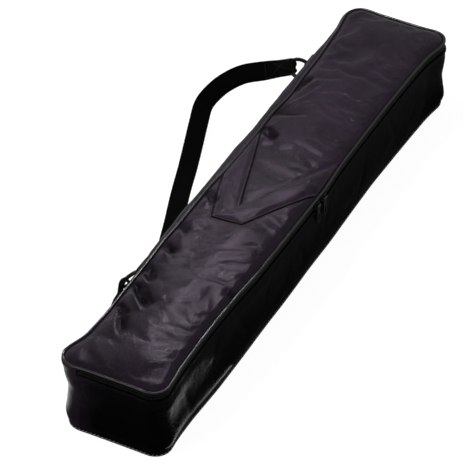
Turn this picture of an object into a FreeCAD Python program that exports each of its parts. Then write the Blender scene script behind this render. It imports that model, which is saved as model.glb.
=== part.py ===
"""Soft carry case for a telescope or its tripod: a long padded box of coated fabric with a flat lid.

The lid is joined along one long side and zipped round the other three, with two sliders that meet
head to head on the long zipped side. A webbing shoulder strap runs between two D-rings on the hinge side.

Millimetres, +Z up. The origin is on the floor under the middle of the base, +Y runs along the case and
+X points at the zipped long side. "Near" is the -Y end and "far" is the +Y end. An inset is a distance
inwards from the case's outline, which is taken over the welts.
"""
import FreeCAD
import Part
import math
import os

Vector = FreeCAD.Vector

# Case, over the welts
CASE_LENGTH = 760.0
CASE_WIDTH = 134.0
CASE_HEIGHT = 104.0
CORNER_RADIUS = 24.0

# Bars, cords and sleeves are drawn with this many flats round their section
BAR_SIDES = 8

# Plies of the walls, base and lid
SKIN = 1.2
FOAM = 4.0
LINING = 0.6
BOARD = 2.0
PLY_GAP = 0.15

# Welts: a cord in a fabric sleeve whose seam allowance lies between the plies
WELT_RADIUS = 2.0
WELT_PROUD = 1.0
FLANGE_START = 3.5
FLANGE_THICKNESS = 0.7
FLANGE_WIDTH = 6.0
LID_DIP = 1.0

# Zipper: tape and coil on each side of the chain
ZIP_BAND = 10.0
TAPE_THICKNESS = 0.8
TAPE_OVERLAP = 8.0
COIL_WIDTH = 2.6
COIL_THICKNESS = 2.2
CHAIN_GAP = 1.4
STOP_LENGTH = 2.5
STOP_PROUD = 0.25

# Sliders and their pulls
SLIDER_LENGTH = 14.0
SLIDER_TAIL = 7.4
SLIDER_PLATE = 1.2
SLIDER_CLEARANCE = 0.35
SLIDER_SEAM_CLEARANCE = 0.4
SLIDER_MEETING = 22.5
SLIDER_SPACING = 17.0
POST_LENGTH = 4.0
BRIDGE_RADIUS = 0.8
BRIDGE_SPAN = 10.0
KNUCKLE_WALL = 0.8
KNUCKLE_CLEARANCE = 0.3
PULL_LENGTH = 26.0
PULL_THICKNESS = 1.2
PULL_SLOT_LENGTH = 12.0
PULL_SLOT_WIDTH = 3.0

# D-rings and the webbing tabs that hold them
RING_WIRE = 5.0
RING_INNER_WIDTH = 26.0
RING_REACH = 25.0
RING_STANDOFF = 9.0
RING_HEIGHT = 74.0
RING_FAR_INSET = 119.0
RING_NEAR_INSET = 200.0
RING_FAR_TILT = 25.0
RING_NEAR_TILT = -35.0
WEBBING_WIDTH = 25.0
TAB_WEBBING = 1.2
TAB_CLEARANCE = 0.3
TAB_FLARE = 13.0

# Strap
STRAP_THICKNESS = 1.6
STRAP_LIFT = 0.3
STRAP_WRAP = 26.0
STRAP_GATHER = 0.7
STRAP_DOUBLED = 2
STRAP_STEPS = 4

# Gap between the hinge side's wall and the lid, and the chevron sewn on the lid
HINGE_CLEARANCE = 0.5
CHEVRON_WIDTH = 30.0
CHEVRON_THICKNESS = 0.7
CHEVRON_APEX_X = -11.0
CHEVRON_APEX_Y = -38.0
CHEVRON_RIGHT_ANGLE = 60.0
CHEVRON_LEFT_ANGLE = 110.0
CHEVRON_TOE = 32.0

# The strap's route, as (out from the wall, along Y, height, width direction) of its middle line.
# The first run is measured from the far ring and the second from the near one.
STRAP_FAR_RUN = [
    (58.0, -23.0, 77.0, (0.41, -0.52, -0.75)),
    (82.0, -35.0, 71.0, (0.54, -0.42, -0.73)),
    (100.0, -49.0, 61.0, (0.71, -0.26, -0.65)),
    (112.0, -63.0, 49.0, (0.83, -0.09, -0.55)),
    (118.0, -77.0, 37.0, (0.92, 0.17, -0.34)),
    (114.0, -98.0, 25.0, (0.93, 0.31, -0.20)),
    (105.0, -130.0, 13.0, (0.93, 0.33, -0.14)),
    (95.0, -163.0, 5.0, (0.94, 0.33, -0.06)),
    (82.0, -205.0, 1.1, (0.95, 0.32, 0.0)),
    (58.0, -271.0, 1.1, (0.95, 0.32, 0.0)),
]
STRAP_NEAR_RUN = [
    (42.0, 120.0, 1.1, (0.97, 0.24, 0.0)),
    (31.0, 70.0, 1.1, (0.99, 0.12, 0.0)),
    (28.0, 20.0, 1.1, (1.0, 0.0, 0.0)),
    (27.0, -8.0, 2.5, (1.0, 0.0, 0.0)),
    (26.5, -21.0, 11.0, (1.0, -0.05, 0.0)),
    (26.0, -24.0, 26.0, (0.94, -0.25, 0.10)),
    (25.5, -20.0, 43.0, (0.80, -0.50, 0.30)),
]

# Heights and insets that follow from the sizes above
LID_SEAM_Z = CASE_HEIGHT - 2 * WELT_RADIUS
BASE_SEAM_Z = 2 * WELT_RADIUS + PLY_GAP
ZIP_EDGE_Z = LID_SEAM_Z - ZIP_BAND
CHAIN_Z = LID_SEAM_Z - ZIP_BAND / 2
TAPE_BOTTOM_Z = ZIP_EDGE_Z - TAPE_OVERLAP
SKIN_INSET = WELT_PROUD
TAPE_INSET = SKIN_INSET + SKIN + PLY_GAP
COIL_INSET = TAPE_INSET + TAPE_THICKNESS / 2 - COIL_THICKNESS / 2
FOAM_INSET = SKIN_INSET + SKIN + PLY_GAP
LINING_INSET = FOAM_INSET + FOAM + PLY_GAP
PAD_INSET = LINING_INSET + LINING + PLY_GAP
PANEL_INSET = 2 * WELT_RADIUS + PLY_GAP
BASE_FLANGE_Z = SKIN + PLY_GAP
BASE_BOARD_Z = BASE_FLANGE_Z + FLANGE_THICKNESS + PLY_GAP
BASE_FOAM_Z = BASE_BOARD_Z + BOARD + PLY_GAP
BASE_LINING_Z = BASE_FOAM_Z + FOAM + PLY_GAP
LID_SKIN_Z = CASE_HEIGHT - LID_DIP - SKIN
LID_FLANGE_Z = LID_SKIN_Z - PLY_GAP - FLANGE_THICKNESS
LID_FOAM_Z = LID_FLANGE_Z - PLY_GAP - FOAM
LID_LINING_Z = LID_FOAM_Z - PLY_GAP - LINING
LINING_TOP_Z = TAPE_BOTTOM_Z + LINING / 2
WALL_X = CASE_WIDTH / 2 - SKIN_INSET
ZIP_START_X = CORNER_RADIUS - CASE_WIDTH / 2
STRAIGHT_Y = CASE_LENGTH / 2 - CORNER_RADIUS
RING_X = -WALL_X - RING_STANDOFF
SLIDER_HEIGHT = ZIP_BAND - 2 * SLIDER_SEAM_CLEARANCE
BRIDGE_X = (
    CASE_WIDTH / 2 - COIL_INSET + SLIDER_CLEARANCE + SLIDER_PLATE
    + BRIDGE_RADIUS + KNUCKLE_CLEARANCE + KNUCKLE_WALL + KNUCKLE_CLEARANCE
)


def box(x, y, z):
    """A box from three (low, high) pairs."""
    size = [pair[1] - pair[0] for pair in (x, y, z)]
    return Part.makeBox(*size, Vector(x[0], y[0], z[0]))


def prism(points, direction):
    """A closed flat outline carried along a direction."""
    return Part.Face(Part.makePolygon(points + points[:1])).extrude(direction)


def plan_wire(inset, z):
    """The case's rounded plan outline, drawn in by inset."""
    half_x = CASE_WIDTH / 2 - inset
    half_y = CASE_LENGTH / 2 - inset
    radius = CORNER_RADIUS - inset
    arcs = []
    for quarter, (sx, sy) in enumerate(((1, 1), (-1, 1), (-1, -1), (1, -1))):
        centre = Vector(sx * (half_x - radius), sy * (half_y - radius), z)
        at = [
            centre + Vector(math.cos(a), math.sin(a), 0) * radius
            for a in (math.radians(90 * quarter + turn) for turn in (0, 45, 90))
        ]
        arcs.append((Part.Arc(*at).toShape(), at[0], at[2]))
    edges = []
    for i, (arc, start, end) in enumerate(arcs):
        edges.append(arc)
        edges.append(Part.makeLine(end, arcs[(i + 1) % 4][1]))
    return Part.Wire(edges)


def slab(inset, low, high):
    """A flat ply with the case's plan outline."""
    return Part.Face(plan_wire(inset, low)).extrude(Vector(0, 0, high - low))


def wall(inset, thickness, low, high):
    """A wall ply that goes all round the case."""
    return slab(inset, low, high).cut(slab(inset + thickness, low, high))


def zip_run(shape, start=ZIP_START_X):
    """What of a wall ply lies on the three zipped sides."""
    return shape.common(box((start, CASE_WIDTH), (-CASE_LENGTH, CASE_LENGTH), (0, 2 * CASE_HEIGHT)))


def hinge_run(shape):
    """What of a wall ply lies on the hinge side and round its corners."""
    end = ZIP_START_X - PLY_GAP
    return shape.common(box((-CASE_WIDTH, end), (-CASE_LENGTH, CASE_LENGTH), (0, 2 * CASE_HEIGHT)))


def section(centre, along, normal, radius):
    """A regular polygon across a bar, with a flat towards normal, as a face."""
    side = along.cross(normal)
    turns = [2 * math.pi * (k + 0.5) / BAR_SIDES for k in range(BAR_SIDES)]
    points = [centre + (normal * math.cos(a) + side * math.sin(a)) * radius for a in turns]
    return Part.Face(Part.makePolygon(points + points[:1]))


def bar(spine, normal, radius):
    """A bar along a flat, smooth wire of lines and arcs, given the normal of the wire's plane."""
    lengths = []
    for edge in spine.Edges:
        start, end = edge.valueAt(edge.FirstParameter), edge.valueAt(edge.LastParameter)
        across = section(start, edge.tangentAt(edge.FirstParameter), normal, radius)
        if isinstance(edge.Curve, Part.Line):
            lengths.append(across.extrude(end - start))
            continue
        turn = math.degrees(edge.LastParameter - edge.FirstParameter)
        lengths.append(across.revolve(edge.Curve.Center, edge.Curve.Axis, turn))
    return lengths[0].fuse(lengths[1:]).removeSplitter()


def welt(centre_z, flange_z):
    """A welt cord round the case, with its seam allowance lying inwards at flange_z."""
    cord = bar(plan_wire(WELT_RADIUS, centre_z), Vector(0, 0, 1), WELT_RADIUS)
    flange = wall(FLANGE_START, FLANGE_WIDTH, flange_z, flange_z + FLANGE_THICKNESS)
    return cord.fuse(flange).removeSplitter()


def base_parts():
    """The floor panel with its stiffener, padding, lining and welt."""
    return {
        "base_skin": slab(PANEL_INSET, 0, SKIN),
        "base_welt": welt(WELT_RADIUS, BASE_FLANGE_Z),
        "base_board": slab(PAD_INSET, BASE_BOARD_Z, BASE_BOARD_Z + BOARD),
        "base_foam": slab(PAD_INSET, BASE_FOAM_Z, BASE_FOAM_Z + FOAM),
        "base_lining": slab(PAD_INSET, BASE_LINING_Z, BASE_LINING_Z + LINING),
    }


def gusset_parts():
    """The upright walls: two outer strips, a foam board in each side and a lining turned over them."""
    hinge_top = LID_SEAM_Z - HINGE_CLEARANCE
    foam_top = TAPE_BOTTOM_Z - LINING / 2 - PLY_GAP
    foam_z = (BASE_SEAM_Z, foam_top)
    side_x = (WALL_X - SKIN - PLY_GAP - FOAM, WALL_X - SKIN - PLY_GAP)
    end_y = (CASE_LENGTH / 2 - FOAM_INSET - FOAM, CASE_LENGTH / 2 - FOAM_INSET)
    straight_y = (-STRAIGHT_Y, STRAIGHT_Y)
    straight_x = (ZIP_START_X, -ZIP_START_X)
    upright = wall(LINING_INSET, LINING, BASE_SEAM_Z, LINING_TOP_Z)
    turned_inset = TAPE_INSET + TAPE_THICKNESS + PLY_GAP
    turned = wall(turned_inset, LINING_INSET + LINING - turned_inset, LINING_TOP_Z - LINING, LINING_TOP_Z)
    return {
        "gusset_zip_side": zip_run(wall(SKIN_INSET, SKIN, BASE_SEAM_Z, ZIP_EDGE_Z)),
        "gusset_hinge_side": hinge_run(wall(SKIN_INSET, SKIN, BASE_SEAM_Z, hinge_top)),
        "gusset_foam_right": box(side_x, straight_y, foam_z),
        "gusset_foam_left": box((-side_x[1], -side_x[0]), straight_y, foam_z),
        "gusset_foam_far": box(straight_x, end_y, foam_z),
        "gusset_foam_near": box(straight_x, (-end_y[1], -end_y[0]), foam_z),
        "gusset_lining": upright.fuse(turned).removeSplitter(),
    }


def coil(low, start=ZIP_START_X + STOP_LENGTH):
    """One side of the zipper's chain."""
    return zip_run(wall(COIL_INSET, COIL_THICKNESS, low, low + COIL_WIDTH), start)


def zip_parts():
    """The two tapes with their coils, and the stops that close the ends of the chain."""
    case_coil_z = CHAIN_Z - CHAIN_GAP / 2 - COIL_WIDTH
    lid_coil_z = CHAIN_Z + CHAIN_GAP / 2
    lid_tape = (lid_coil_z + COIL_WIDTH, LID_SEAM_Z - PLY_GAP)
    stop_wall = wall(
        COIL_INSET - STOP_PROUD,
        COIL_THICKNESS + 2 * STOP_PROUD,
        case_coil_z - STOP_PROUD,
        case_coil_z + COIL_WIDTH + STOP_PROUD,
    )
    tape_slot = wall(TAPE_INSET, TAPE_THICKNESS, case_coil_z - STOP_PROUD, case_coil_z)
    reach = (-CASE_LENGTH, CASE_LENGTH)
    ends = box((ZIP_START_X, ZIP_START_X + STOP_LENGTH), reach, (0, CASE_HEIGHT))
    return {
        "zip_tape_case": zip_run(wall(TAPE_INSET, TAPE_THICKNESS, TAPE_BOTTOM_Z, case_coil_z)),
        "zip_coil_case": coil(case_coil_z),
        "zip_stops": stop_wall.cut(tape_slot).common(ends),
        "zip_tape_lid": zip_run(wall(TAPE_INSET, TAPE_THICKNESS, *lid_tape)),
        "zip_coil_lid": coil(lid_coil_z),
    }


def line_at(point, angle, y):
    """Where a line through point at an angle to +X crosses a height y in plan."""
    return point[0] + (y - point[1]) / math.tan(math.radians(angle))


def chevron_band():
    """A flat band in a V across the lid, its point cut off square, stitched down on the lid skin."""
    top = CHEVRON_APEX_Y + CASE_WIDTH / math.cos(math.radians(CHEVRON_RIGHT_ANGLE))
    toe = CHEVRON_APEX_Y - CHEVRON_TOE
    apex = (CHEVRON_APEX_X, CHEVRON_APEX_Y)
    right = math.radians(CHEVRON_RIGHT_ANGLE)
    left = math.radians(CHEVRON_LEFT_ANGLE)
    outer_right = (apex[0] + CHEVRON_WIDTH * math.sin(right), apex[1] - CHEVRON_WIDTH * math.cos(right))
    outer_left = (apex[0] - CHEVRON_WIDTH * math.sin(left), apex[1] + CHEVRON_WIDTH * math.cos(left))
    outline = [
        apex,
        (line_at(apex, CHEVRON_RIGHT_ANGLE, top), top),
        (line_at(outer_right, CHEVRON_RIGHT_ANGLE, top), top),
        (line_at(outer_right, CHEVRON_RIGHT_ANGLE, toe), toe),
        (line_at(outer_left, CHEVRON_LEFT_ANGLE, toe), toe),
        (line_at(outer_left, CHEVRON_LEFT_ANGLE, top), top),
        (line_at(apex, CHEVRON_LEFT_ANGLE, top), top),
    ]
    low = CASE_HEIGHT - LID_DIP
    band = prism([Vector(x, y, low) for x, y in outline], Vector(0, 0, CHEVRON_THICKNESS))
    return band.common(slab(PANEL_INSET + PLY_GAP, low, low + CHEVRON_THICKNESS))


def lid_parts():
    """The lid panel with its welt, padding, lining and chevron."""
    return {
        "lid_skin": slab(PANEL_INSET, LID_SKIN_Z, LID_SKIN_Z + SKIN),
        "chevron_band": chevron_band(),
        "lid_welt": welt(CASE_HEIGHT - WELT_RADIUS, LID_FLANGE_Z),
        "lid_foam": slab(PAD_INSET, LID_FOAM_Z, LID_FOAM_Z + FOAM),
        "lid_lining": slab(PAD_INSET, LID_LINING_Z, LID_LINING_Z + LINING),
    }


def slider(y, head):
    """A zipper slider astride the chain at y, its head towards head (+1 or -1) along Y.

    The lips close round the case's coil only, so the lid's coil can leave the channel upwards.
    """
    outline = CASE_WIDTH / 2
    outer_face = outline - COIL_INSET + SLIDER_CLEARANCE
    inner_face = outline - COIL_INSET - COIL_THICKNESS - SLIDER_CLEARANCE
    half = SLIDER_LENGTH / 2
    wide = SLIDER_HEIGHT / 2
    narrow = SLIDER_TAIL / 2
    flank = [(-half, narrow), (half * 0.2, wide), (half * 0.75, wide), (half, wide * 0.7)]
    ring = flank + [(a, -b) for a, b in reversed(flank)]

    def plate(x):
        points = [Vector(x, y + head * a, CHAIN_Z + b) for a, b in ring]
        return prism(points, Vector(SLIDER_PLATE, 0, 0))

    lip_top = CHAIN_Z - CHAIN_GAP / 2 - COIL_WIDTH - SLIDER_CLEARANCE
    lip_reach = (COIL_THICKNESS - TAPE_THICKNESS) / 2
    lip_y = sorted((y - head * half * 0.6, y + head * half * 0.75))
    lip_z = (CHAIN_Z - narrow, lip_top)
    post_y = sorted((y + head * half * 0.85, y + head * (half * 0.85 - POST_LENGTH)))
    post_half = CHAIN_GAP / 2 - SLIDER_CLEARANCE
    body = plate(outer_face).fuse([
        plate(inner_face - SLIDER_PLATE),
        box((outer_face - lip_reach, outer_face), lip_y, lip_z),
        box((inner_face, inner_face + lip_reach), lip_y, lip_z),
        box((inner_face, outer_face), post_y, (CHAIN_Z - post_half, CHAIN_Z + post_half)),
    ])
    leg_start = outer_face + SLIDER_PLATE / 2
    leg_y = BRIDGE_SPAN / 2
    bridge = [Part.makeCylinder(BRIDGE_RADIUS, BRIDGE_SPAN, Vector(BRIDGE_X, y - leg_y, CHAIN_Z), Vector(0, 1, 0))]
    leg_length = BRIDGE_X + BRIDGE_RADIUS - leg_start
    for side in (-leg_y, leg_y):
        foot = Vector(leg_start, y + side, CHAIN_Z)
        bridge.append(Part.makeCylinder(BRIDGE_RADIUS, leg_length, foot, Vector(1, 0, 0)))
    return body.fuse(bridge).removeSplitter()


def pull_tab(y):
    """A flat pull with a rolled eye round the slider's bridge, hanging straight down."""
    bore = BRIDGE_RADIUS + KNUCKLE_CLEARANCE
    width = BRIDGE_SPAN - 2 * (BRIDGE_RADIUS + 2 * KNUCKLE_CLEARANCE)
    low_y = y - width / 2
    start = Vector(BRIDGE_X, low_y, CHAIN_Z)
    along = Vector(0, 1, 0)
    eye = Part.makeCylinder(bore + KNUCKLE_WALL, width, start, along)
    hole = Part.makeCylinder(bore, width, start, along)
    face_x = BRIDGE_X - PULL_THICKNESS / 2
    tip_radius = width / 2
    tip = Vector(face_x, y, CHAIN_Z - PULL_LENGTH + tip_radius)
    plate = box((face_x, face_x + PULL_THICKNESS), (low_y, low_y + width), (tip.z, CHAIN_Z))
    out = Vector(1, 0, 0)
    plate = plate.fuse(Part.makeCylinder(tip_radius, PULL_THICKNESS, tip, out))
    slot_radius = PULL_SLOT_WIDTH / 2
    slot_top = tip.z + PULL_SLOT_LENGTH - PULL_SLOT_WIDTH
    slot = box((face_x, face_x + PULL_THICKNESS), (y - slot_radius, y + slot_radius), (tip.z, slot_top))
    for z in (tip.z, slot_top):
        slot = slot.fuse(Part.makeCylinder(slot_radius, PULL_THICKNESS, Vector(face_x, y, z), out))
    return eye.fuse(plate).cut(hole).cut(slot).removeSplitter()


class Ring:
    """Where one D-ring lies: its straight bar along Y, the direction that its arc points in and its strap.

    The run lists the strap's middle line as it does above, and index says which of its points is next to
    the ring. The strap settles where its pull is square to the wire.
    """

    def __init__(self, y, tilt, run, index):
        lean = math.radians(tilt)
        self.y = y
        self.bar = Vector(RING_X, y, RING_HEIGHT)
        self.out = Vector(-math.cos(lean), 0, math.sin(lean))
        self.along = Vector(0, 1, 0)
        self.normal = self.along.cross(self.out)
        self.half_width = (RING_INNER_WIDTH + RING_WIRE) / 2
        self.leg = RING_REACH - self.half_width
        self.bend = self.half_width - (WEBBING_WIDTH + TAB_CLEARANCE) / 2
        self.route = [Vector(-WALL_X - out, y + along, height) for out, along, height, side in run]
        self.widths = [Vector(*side) for out, along, height, side in run]
        pull = self.route[index] - self.at(0, self.leg)
        self.skew = math.degrees(math.atan2(-pull.dot(self.along), pull.dot(self.out)))

    def at(self, side, reach):
        """A point in the ring's plane, side along Y and reach away from the bar."""
        return self.bar + self.along * side + self.out * reach

    def on_arc(self, degrees):
        """A point on the arc, measured from its crown towards the near end."""
        turn = math.radians(degrees)
        return self.at(-self.half_width * math.sin(turn), self.leg + self.half_width * math.cos(turn))

    def tangent(self, degrees):
        """The wire's direction at that point of the arc."""
        turn = math.radians(degrees)
        return self.along * -math.cos(turn) - self.out * math.sin(turn)

    def solid(self):
        """The D: a straight bar, two rounded corners, short legs and a half-round arc."""
        half, bend = self.half_width, self.bend
        inside = bend * (1 - math.sqrt(0.5))
        edges = [
            Part.makeLine(self.at(-half + bend, 0), self.at(half - bend, 0)),
            Part.Arc(self.at(half - bend, 0), self.at(half - inside, inside), self.at(half, bend)).toShape(),
            Part.makeLine(self.at(half, bend), self.at(half, self.leg)),
            Part.Arc(self.on_arc(-90), self.on_arc(0), self.on_arc(90)).toShape(),
            Part.makeLine(self.at(-half, self.leg), self.at(-half, bend)),
            Part.Arc(self.at(-half, bend), self.at(-half + inside, inside), self.at(-half + bend, 0)).toShape(),
        ]
        return bar(Part.Wire(edges), self.normal, RING_WIRE / 2)

    def wrap(self):
        """The strap's end turned round the arc, a sleeve that follows the wire."""
        bore = RING_WIRE / 2 + TAB_CLEARANCE
        first = self.skew - STRAP_WRAP
        start, along = self.on_arc(first), self.tangent(first)
        to_corners = 1 / math.cos(math.pi / BAR_SIDES)
        radii = ((bore + STRAP_THICKNESS) * to_corners, bore * to_corners)
        outer, inner = [section(start, along, self.normal, r) for r in radii]
        return outer.cut(inner).revolve(self.at(0, self.leg), self.normal, 2 * STRAP_WRAP)


def tangent_point(point, centre, radius, side):
    """Where the line from an outside point touches a circle in the XZ plane; side picks which of the two."""
    away = point - centre
    spread = math.acos(radius / away.Length) * side
    turn = math.atan2(away.z, away.x) + spread
    return centre + Vector(math.cos(turn), 0, math.sin(turn)) * radius


def ring_tab(ring):
    """Folded webbing that hangs from the lid seam, flat on the wall, and loops round the ring's bar."""
    bore = RING_WIRE / 2 + TAB_CLEARANCE
    loop = bore + TAB_WEBBING
    start_y = ring.y - WEBBING_WIDTH / 2
    across = Vector(0, 1, 0)
    centre = Vector(RING_X, start_y, RING_HEIGHT)
    inner_x = -WALL_X - PLY_GAP
    outer_x = inner_x - 2 * TAB_WEBBING
    flare_z = RING_HEIGHT + TAB_FLARE
    top_z = LID_SEAM_Z - HINGE_CLEARANCE - PLY_GAP
    inner = Vector(inner_x, start_y, flare_z)
    outer = Vector(outer_x, start_y, flare_z)
    fan = [inner, outer, tangent_point(outer, centre, loop, 1), tangent_point(inner, centre, loop, -1)]
    length = Vector(0, WEBBING_WIDTH, 0)
    strip = box((outer_x, inner_x), (start_y, start_y + WEBBING_WIDTH), (flare_z, top_z))
    body = strip.fuse([prism(fan, length), Part.makeCylinder(loop, WEBBING_WIDTH, centre, across)])
    return body.cut(Part.makeCylinder(bore, WEBBING_WIDTH, centre, across)).removeSplitter()


def smooth(points, steps):
    """Points of a Catmull-Rom curve through the given ones."""
    ends = [points[0] * 2 - points[1]] + points + [points[-1] * 2 - points[-2]]
    curve = []
    for a, b, c, d in zip(ends, ends[1:], ends[2:], ends[3:]):
        for k in range(steps):
            t = k / steps
            curve.append((b * 2 + (c - a) * t + (a * 2 - b * 5 + c * 4 - d) * t**2 + (b * 3 - a - c * 3 + d) * t**3) * 0.5)
    return curve + [points[-1]]


def ribbon(middle, across, width, thickness):
    """A closed solid of flat webbing along a middle line, given its width direction and size at each point."""
    rows = []
    for i, point in enumerate(middle):
        along = middle[min(i + 1, len(middle) - 1)] - middle[max(i - 1, 0)]
        side = across[i] - along * (across[i].dot(along) / along.Length**2)
        side = side.normalize() * (width[i] / 2)
        up = along.cross(side).normalize() * (thickness[i] / 2)
        rows.append([point + side + up, point - side + up, point - side - up, point + side - up])
    faces = []

    def triangle(a, b, c):
        faces.append(Part.Face(Part.makePolygon([a, b, c, a])))

    for here, there in zip(rows, rows[1:]):
        for k in range(4):
            after = (k + 1) % 4
            triangle(here[k], there[k], there[after])
            triangle(here[k], there[after], here[after])
    for row in (rows[0], rows[-1]):
        triangle(row[0], row[1], row[2])
        triangle(row[0], row[2], row[3])
    return Part.makeSolid(Part.makeShell(faces))


def strap(far, near):
    """The shoulder strap: flat webbing from the far ring out to the floor and back to the near ring."""
    reach = RING_WIRE / 2 + TAB_CLEARANCE + STRAP_THICKNESS / 2
    ends = []
    for ring, index in ((far, 0), (near, -1)):
        fold, wire = ring.on_arc(ring.skew), ring.tangent(ring.skew)
        toward = ring.route[index] - fold
        toward = (toward - wire * toward.dot(wire)).normalize()
        ends.append((fold + toward * reach, wire))
    points = [ends[0][0]] + far.route + near.route + [ends[1][0]]
    sides = [ends[0][1]] + far.widths + near.widths + [ends[1][1]]
    middle = smooth(points, STRAP_STEPS)
    across = smooth(sides, STRAP_STEPS)
    doubled = STRAP_DOUBLED * STRAP_STEPS
    last = len(middle) - 1
    from_end = [min(i, last - i) for i in range(len(middle))]
    plies = [2 if i <= doubled else 1 for i in from_end]
    gather = [STRAP_GATHER + (1 - STRAP_GATHER) * min(i / STRAP_STEPS, 1) for i in from_end]
    lowest = STRAP_LIFT + STRAP_THICKNESS / 2
    middle = [Vector(p.x, p.y, max(p.z, lowest)) for p in middle]
    width = [WEBBING_WIDTH * g for g in gather]
    webbing = ribbon(middle, across, width, [STRAP_THICKNESS * n for n in plies])
    return webbing.fuse([far.wrap(), near.wrap()]).removeSplitter()


def build():
    """Every sub-part by its node name."""
    far = Ring(CASE_LENGTH / 2 - RING_FAR_INSET, RING_FAR_TILT, STRAP_FAR_RUN, 0)
    near = Ring(RING_NEAR_INSET - CASE_LENGTH / 2, RING_NEAR_TILT, STRAP_NEAR_RUN, -1)
    near_slider_y = SLIDER_MEETING - SLIDER_SPACING / 2
    far_slider_y = SLIDER_MEETING + SLIDER_SPACING / 2
    parts = {}
    parts.update(base_parts())
    parts.update(gusset_parts())
    parts.update(zip_parts())
    parts.update(lid_parts())
    parts["slider_near"] = slider(near_slider_y, 1)
    parts["slider_far"] = slider(far_slider_y, -1)
    parts["pull_tab_near"] = pull_tab(near_slider_y)
    parts["pull_tab_far"] = pull_tab(far_slider_y)
    parts["ring_tab_far"] = ring_tab(far)
    parts["ring_tab_near"] = ring_tab(near)
    parts["d_ring_far"] = far.solid()
    parts["d_ring_near"] = near.solid()
    parts["strap"] = strap(far, near)
    return parts


def main():
    """Write one STEP file for each sub-part."""
    os.makedirs("parts", exist_ok=True)
    for name, shape in build().items():
        size = shape.BoundBox
        print(f"{name:18s} solids {len(shape.Solids)} valid {shape.isValid()} volume {shape.Volume:10.1f} "
              f"x {size.XMin:.1f} {size.XMax:.1f} y {size.YMin:.1f} {size.YMax:.1f} z {size.ZMin:.2f} {size.ZMax:.2f}")
        shape.exportStep(f"parts/{name}.step")


main()
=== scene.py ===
"""A soft carry case for a telescope or its tripod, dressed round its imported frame.

Every shape is worked out in millimetres and becomes metres when its mesh is made. The origin is on the
floor under the middle of the base, +Y runs along the case and +X faces the zipper. "Near" is the -Y end,
"far" the +Y end. An inset is a distance inwards from the case's drawn outline, taken over the welts.
"""
import logging
import math
from dataclasses import dataclass, field
from enum import Enum
from typing import Callable, Optional, Sequence

import bmesh
import bpy
import numpy as np
from mathutils import Matrix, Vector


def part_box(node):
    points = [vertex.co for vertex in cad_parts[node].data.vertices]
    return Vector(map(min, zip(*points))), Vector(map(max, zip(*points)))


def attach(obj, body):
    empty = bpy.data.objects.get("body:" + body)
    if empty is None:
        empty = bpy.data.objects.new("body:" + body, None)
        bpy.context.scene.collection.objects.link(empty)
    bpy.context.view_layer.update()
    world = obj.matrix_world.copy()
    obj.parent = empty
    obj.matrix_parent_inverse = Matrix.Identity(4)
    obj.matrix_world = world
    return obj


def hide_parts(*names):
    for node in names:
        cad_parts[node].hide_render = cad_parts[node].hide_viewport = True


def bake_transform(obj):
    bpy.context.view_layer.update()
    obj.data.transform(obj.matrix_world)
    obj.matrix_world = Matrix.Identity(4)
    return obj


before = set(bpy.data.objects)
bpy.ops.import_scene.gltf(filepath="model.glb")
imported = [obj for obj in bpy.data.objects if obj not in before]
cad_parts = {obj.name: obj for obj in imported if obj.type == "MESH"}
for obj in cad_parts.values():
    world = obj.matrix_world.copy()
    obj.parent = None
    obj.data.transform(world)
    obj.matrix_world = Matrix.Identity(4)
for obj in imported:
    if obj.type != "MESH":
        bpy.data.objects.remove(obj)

LOG = logging.getLogger("case")
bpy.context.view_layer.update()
MM = 0.001
UP, ALONG = np.array((0.0, 0.0, 1.0)), np.array((0.0, 1.0, 0.0))

Array = np.ndarray
Piece = bpy.types.Object
Material = bpy.types.Material
Pair = tuple[float, float]
Path = tuple[Array, Array, bool]
Colour = tuple[float, float, float, float]


# ---- numbers

def node_box(node: str) -> Array:
    """A frame node's lowest and highest corner, in millimetres."""
    return np.array([list(corner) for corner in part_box(node)]) / MM


def smoothstep(value: Array) -> Array:
    """An S-shaped ramp from 0 to 1."""
    share = np.clip(value, 0.0, 1.0)
    return share * share * (3 - 2 * share)


def unit(vectors: Array) -> Array:
    """Vectors scaled to length 1 along their last axis."""
    return vectors / np.maximum(np.linalg.norm(vectors, axis=-1, keepdims=True), 1e-9)


def run_length(points: Array) -> Array:
    """How far along a path each of its points lies."""
    return np.concatenate([[0], np.cumsum(np.linalg.norm(np.diff(points, axis=0), axis=1))])


def raised(plan: Array, z: float) -> Array:
    """Plan points at one height."""
    return np.concatenate([plan, np.full((len(plan), 1), z)], 1)


def circle(count: int) -> Array:
    """Evenly spaced angles, once round."""
    return np.linspace(0, 2 * np.pi, count, endpoint=False)


def between(grid: Array, i: Array, j: Array) -> Array:
    """What a grid holds between its points.

    Args:
        grid: Numbers or points in rows and columns.
        i: Places down the grid.
        j: Places across it.

    Returns:
        The numbers or points at those places.
    """
    a = np.minimum(np.floor(i).astype(int), grid.shape[0] - 2)
    b = np.minimum(np.floor(j).astype(int), grid.shape[1] - 2)
    s, t = (share.reshape(-1, *[1] * (grid.ndim - 2)) for share in (i - a, j - b))
    low = grid[a, b] * (1 - s) + grid[a + 1, b] * s
    high = grid[a, b + 1] * (1 - s) + grid[a + 1, b + 1] * s
    return low * (1 - t) + high * t


def srgb(red: float, green: float, blue: float) -> Colour:
    """A display colour of 0 to 255 as linear RGBA."""
    shares = (value / 255 for value in (red, green, blue))
    return (*(s / 12.92 if s <= 0.04045 else ((s + 0.055) / 1.055) ** 2.4 for s in shares), 1.0)


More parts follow.
